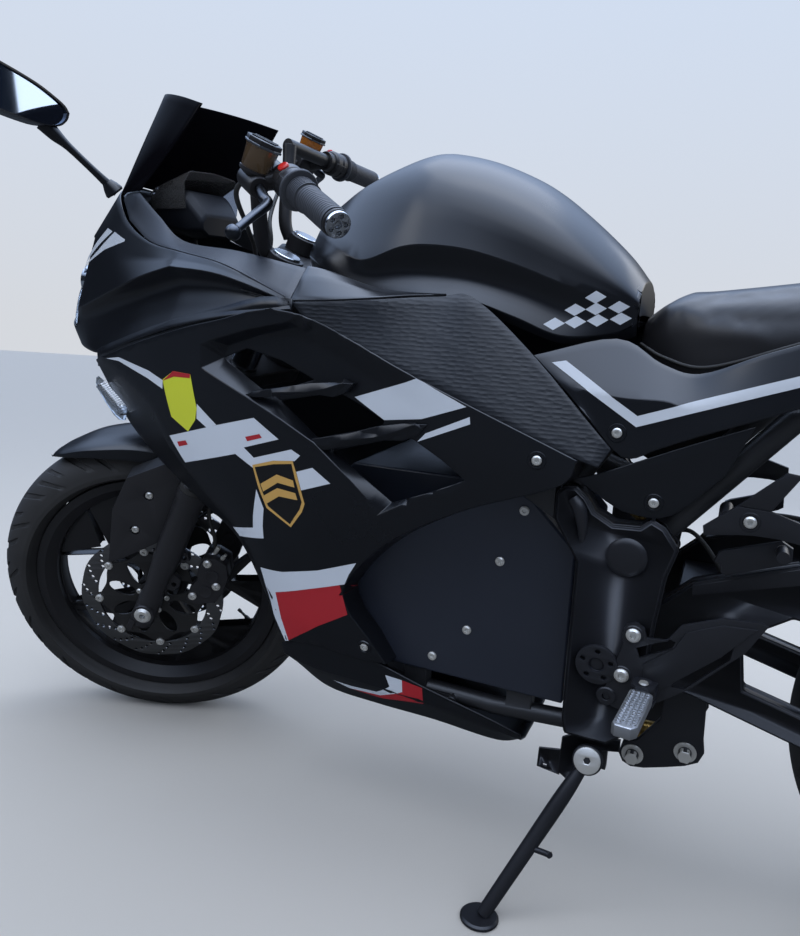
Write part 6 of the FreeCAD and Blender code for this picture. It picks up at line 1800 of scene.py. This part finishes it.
# The right head hangs level in the leaning bike, so its outer end drops by this share of its width.
for name, side, level in (("left", LEFT, 0.0), ("right", RIGHT, 0.2)):
    head_at = Vector((-42, side * 236, 1086))
    stalk = tube([(22, side * 106, 984), (12, side * 116, 996), (0, side * 132, 1014),
                  (-20, side * 158, 1044), (-32, side * 172, 1060),
                  tuple(head_at + Vector((0, -side * 52, -10)))], [8, 7, 5.8, 6.2, 10, 13], 18, 8)
    boot = turned([(0, 0), (14, 0), (15, 3), (12, 12), (8, 20), (0, 20)], 28)
    loops = []
    for x, grow in ((-27, 0.30), (-24, 0.52), (-18, 0.74), (-8, 0.92), (6, 1.0), (16, 1.0), (20, 0.97)):
        ring = [head_at + Vector((x, side * y * grow, (z - level * (y + HEAD_REACH)) * grow))
                for y, z in HEAD_OUTLINE]
        ring.append(ring[0])
        loops.append(curve_through(ring, 4)[:-1])
    head = skin(loops, closed=True)
    head.faces.new([min(head.verts, key=lambda v: (v.co - p).length) for p in loops[0]])
    rim = [p.lerp(head_at + Vector((20, 0, 0)), 0.06) for p in loops[-1]]
    inner = [p + Vector((-4, 0, 0)) for p in rim]
    lip = skin([loops[-1], rim, inner], closed=True)
    whole = gather([stalk, (boot, spot((20, side * 108, 982), (-0.3, side * 0.5, 0.75))),
                    head, lip])
    piece = made("mirror_" + name, whole, body_paint, "black_bodywork", edge=0)
    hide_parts("mirrors")
    glass = bmesh.new()
    glass.faces.new([glass.verts.new(p + Vector((0.6, 0, 0))) for p in inner])
    made("painted_sky_mirror_" + name, glass, painted_sky_mirror, "black_bodywork")


# Front mudguard: a thin crowned moulding close over the tyre, wider at the back, with a rolled edge
# and a plate on two screws inside each fork leg.
STAY = [(-46, 300), (-110, 232), (-115, 164), (-91, 58), (-72, 76), (-22, 138), (-20, 290)]
STAY_TOP = [(-110, 232), (-46, 300), (-20, 290)]
STAY_BACK = [(-86, 126), (-56, 122), (-20, 160), (-20, 250), (-50, 250), (-86, 230)]
STAY_SCREWS = ((-66, 216), (-68, 142))
# The mudguard's half section as (y, drop), and its rows as (degrees, width share, depth share).
GUARD_SECTION = ((-66, 40), (-64, 17), (-52, 7), (-30, 1), (0, 0))
GUARD_ROWS = ((-56, 0.3, 0.1), (-50, 0.62, 0.3), (-38, 0.92, 0.62), (-20, 1, 0.9), (0, 1, 1), (20, 1, 1),
              (40, 1, 1), (58, 1, 1))
reach = FRONT_RADIUS + 16
guard_rows = []
for angle, wide, deep in GUARD_ROWS:
    way = Vector((math.sin(math.radians(angle)), 0, math.cos(math.radians(angle))))
    row = [(LEG_X + way.x * (reach - drop * deep), y * wide, AXLE_Z + way.z * (reach - drop * deep))
           for y, drop in GUARD_SECTION]
    guard_rows.append(row + [(x, -y, z) for x, y, z in reversed(row[:-1])])
fender = skin(weave(guard_rows, 8, 4, (), (1, 7)))
fender_piece = shell("front_mudguard", fender, WALL, (LEG_X, 0, AXLE_Z), body_paint, "black_bodywork",
                     place=FORK, body="steering", edge=1.2)
stands_for(fender_piece, "front_fender")
for name, side in SIDES:
    cheek = plate([STAY] + [circle(x, z, 9, 24) for x, z in STAY_SCREWS], 4, 0.8)
    backing = plate([STAY_BACK], 2, 0.4)
    top_fold = bmesh.new()
    for low, high in zip(STAY_TOP, STAY_TOP[1:]):
        corners = [(x, side * (92 - 22 * inward), z + 12 * inward)
                   for (x, z), inward in ((low, 0), (high, 0), (high, 1), (low, 1))]
        top_fold.faces.new([top_fold.verts.new(corner) for corner in corners])
    bmesh.ops.solidify(top_fold, geom=top_fold.faces[:], thickness=3)
    stay_plate = gather([(cheek, upright(side * 92)), (backing, upright(side * 89)), top_fold])
    made("fender_stay_" + name, stay_plate, leg_paint, "black_bodywork",
         FORK @ Matrix.Translation((LEG_X, 0, AXLE_Z)), "steering")
    screws("fender_screws_" + name, [((x, side * 90, z), (0, side, 0)) for x, z in STAY_SCREWS],
           FORK @ Matrix.Translation((LEG_X, 0, AXLE_Z)), "steering", radius=6.5, height=4)


# Handlebars: an alloy clamp and riser on each fork tube, a ribbed rubber grip between a flange and a
# chrome end weight with five dimples, a switch block with a red button, and the brake master cylinder
# with its lever and a round see-through reservoir under a ribbed silver cap.
TUBE_R, BAR_R = 20.5, 11
GRIP_LENGTH = 96
CLAMP_LOW = AXLE_Z + 660.3
BAR_Z = CLAMP_LOW + 136.7
bar_black = paint("bar_black", (0.013, 0.013, 0.015), 0.36, mottle=0.04, grain=0.12, gleam=0.45)
grip_rubber = paint("grip_rubber", (0.034, 0.038, 0.048), 0.5, mottle=0.06, tone=1.5, grain=0.2)
bright_alloy = paint("bright_alloy", (0.66, 0.67, 0.69), 0.2, metal=1.0, mottle=0.05, tone=1.1, scuff=0.1)
dark_alloy = paint("dark_alloy", (0.07, 0.075, 0.085), 0.28, metal=1.0, mottle=0.05, tone=1.2, scuff=0.15)
cap_alloy = paint("cap_alloy", (0.26, 0.27, 0.29), 0.34, metal=1.0, mottle=0.05, tone=1.2)
button_red = paint("button_red", (0.55, 0.02, 0.015), 0.3, mottle=0.02)
FLUID = {"left": (0.10, 0.065, 0.035), "right": (0.50, 0.17, 0.03)}
ahead_of_bar = Vector((-0.85, 0, -0.53)).normalized()
for name, side in SIDES:
    slot = slot_of["handlebar_" + name]
    inner, outer = Vector((-131, side * 149, BAR_Z + 7)), Vector((13, side * 354, BAR_Z))
    along = (outer - inner).normalized()
    grip_out = outer - along * 4
    grip_in = grip_out - along * GRIP_LENGTH
    perch_at = grip_in - along * 44
    line = spot(inner, along)
    clamp = turned([(TUBE_R + 0.3, 0), (TUBE_R + 5, 0), (TUBE_R + 6, 1), (TUBE_R + 6, 25),
                    (TUBE_R + 5, 26), (TUBE_R + 0.3, 26)], 40, closed=True)
    arm = tube([(LEG_X - 24, side * 98, CLAMP_LOW + 13), (LEG_X - 44, side * 106, CLAMP_LOW + 40),
                (-118, side * 138, BAR_Z - 22), tuple(inner + along * 2)], [10, 11, 11, 12], 20, 8)
    bar = turned([(0, -4), (BAR_R, -4), (BAR_R, (grip_in - inner).length),
                  (0, (grip_in - inner).length)], 28)
    solid = gather([(clamp, Matrix.Translation((LEG_X, side * LEG_Y, CLAMP_LOW))), arm,
                    (bar, line)])
    piece = made("bar_" + name, solid, bar_black, slot, FORK, "steering", edge=0.4)
    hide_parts("handlebar_" + name)
    ribs = [(0, 0), (16, 0)]
    for i in range(7):
        ribs += [(16.4, 1 + i * 3.4), (18.6, 1.4 + i * 3.4), (18.6, 3.0 + i * 3.4), (16.4, 3.6 + i * 3.4)]
    ribs += [(16, 26), (16.9, 27), (16.9, 29), (16.2, 30)]
    for i in range(14):
        ribs += [(16.2, 31 + i * 4.2), (16.8, 31.6 + i * 4.2), (16.8, 34.2 + i * 4.2),
                 (16.2, 34.8 + i * 4.2)]
    ribs += [(16.2, 90), (17, 91), (17, 95), (0, 95)]
    made("grip_" + name, turned(ribs, 36), grip_rubber, slot, FORK @ spot(grip_in, along), "steering")
    flange = turned([(0, -6), (24, -6), (25, -5), (25, -2), (24, -1), (15.9, -1), (15.9, 0), (0, 0)], 40)
    made("grip_flange_" + name, flange, grip_rubber, slot, FORK @ spot(grip_in, along), "steering")
    end_at = FORK @ spot(grip_out, along)
    made("bar_end_ring_" + name, turned([(0, 0), (16, 0), (16.5, 1), (16.5, 3), (16, 4), (0, 4)], 36),
         bar_black, slot, end_at, "steering")
    dimples = [circle(x, y, 2.0, 12) for x, y in circle(0, 0, 9.6, 5, 0.3)]
    chrome_end = gather([(plate([circle(0, 0, 15.4, 40), circle(0, 0, 4, 20)] + dimples, 6, 1.4),
                          Matrix.Translation((0, 0, 6.6))),
                         rod(15, 3.6, 4.4, 32)])
    made("bar_end_" + name, chrome_end, bright_alloy, slot, end_at, "steering")
    block = turned([(0, -40), (18, -40), (21, -36), (21, -24), (19.5, -23), (19.5, -22), (21, -21),
                    (21, -10), (18, -6), (0, -6)], 32)
    pads = bmesh.new()
    bmesh.ops.create_cube(pads, size=1, matrix=Matrix.Translation((0, 0, -24))
                          @ Matrix.Diagonal((41, 12, 30, 1)))
    made("switch_block_" + name, gather([block, pads]), bar_black, slot,
         FORK @ spot(grip_in, along), "steering", edge=1.2)
    up_at = perch_at + along * 22
    button = turned([(0, -3), (6.4, -3), (7, -2), (7, 4), (5.4, 5.4), (0, 5.4)], 20)
    made("red_button_" + name, button, button_red, slot,
         FORK @ spot(up_at + Vector((-16, 0, 13)), (-0.6, side * 0.35, 0.55)), "steering")
    lever_root = perch_at + ahead_of_bar * 40
    perch = tube([tuple(perch_at), tuple(perch_at.lerp(lever_root, 0.5)), tuple(lever_root)],
                 [13, 11.5, 12], 20, 4)
    ring = turned([(0, -9), (15.5, -9), (16.5, -8), (16.5, 8), (15.5, 9), (0, 9)], 32)
    pump = turned([(0, -26), (11, -26), (13, -24), (13.6, -10), (13.6, 16), (12, 19), (0, 20)], 28)
    made("master_cylinder_" + name, gather([perch, (ring, spot(perch_at, along)),
                                            (pump, spot(lever_root, along))]), bar_black, slot, FORK,
         "steering", edge=0.6)
    tip = Vector((-89, side * 345, BAR_Z - 60))
    start, knee = lever_root + along * 19, lever_root + along * 52 - Vector((0, 0, 8))
    blade = tube([tuple(start), tuple(start.lerp(knee, 0.6)), tuple(knee), tuple(knee.lerp(tip, 0.45)),
                  tuple(tip)], [6, 7, 6.6, 5.4, 5], 18, 8)
    ball = turned([(9.2 * math.sin(math.pi * i / 12), -9.2 * math.cos(math.pi * i / 12))
                   for i in range(13)], 24)
    made("lever_" + name, gather([blade, (ball, Matrix.Translation(tip))]), dark_alloy, slot,
         FORK, "steering")
    pot_at = FORK @ Matrix.Translation(perch_at + Vector((-38, 0, -14)))
    fluid = glazing("fluid_" + name, FLUID[name], 0.08, 0.35, Coat_Weight=0.8)
    made("reservoir_" + name, turned([(0, 4), (16.5, 4), (18, 6), (20.6, 36), (0, 36)], 16), fluid, slot,
         pot_at, "steering")
    feet = turned([(0, 0), (12, 0), (17, 3), (19, 5), (19, 8), (0, 8)], 36)
    made("reservoir_foot_" + name, feet, bar_black, slot, pot_at, "steering")
    made("reservoir_rim_" + name, plate([circle(0, 0, 23.4, 8), circle(0, 0, 17, 8)], 3, 0.8), cap_alloy,
         slot, pot_at @ Matrix.Translation((0, 0, 37)), "steering")
    lid = gather([(plate([circle(0, 0, 22.4, 8)], 6, 0.8), Matrix.Translation((0, 0, 41)))]
                 + [(plate([[(-15, y - 1), (15, y - 1), (15, y + 1), (-15, y + 1)]], 1.6, 0.3),
                     Matrix.Translation((0, 0, 44.6))) for y in (-9, -3, 3, 9)])
    made("reservoir_cap_" + name, lid, bar_black, slot, pot_at, "steering")
    hose = tube([tuple(lever_root - along * 24), tuple(lever_root - along * 48 + Vector((6, 0, -30))),
                 (-112, side * 92, BAR_Z - 100), (-92, side * 66, AXLE_Z + 660),
                 (-84, side * 74, AXLE_Z + 600), (LEG_X - 32, side * 78, AXLE_Z + 500)], 3.4, 12, 8)
    made("bar_hose_" + name, hose, seal_rubber, slot, FORK, "steering")
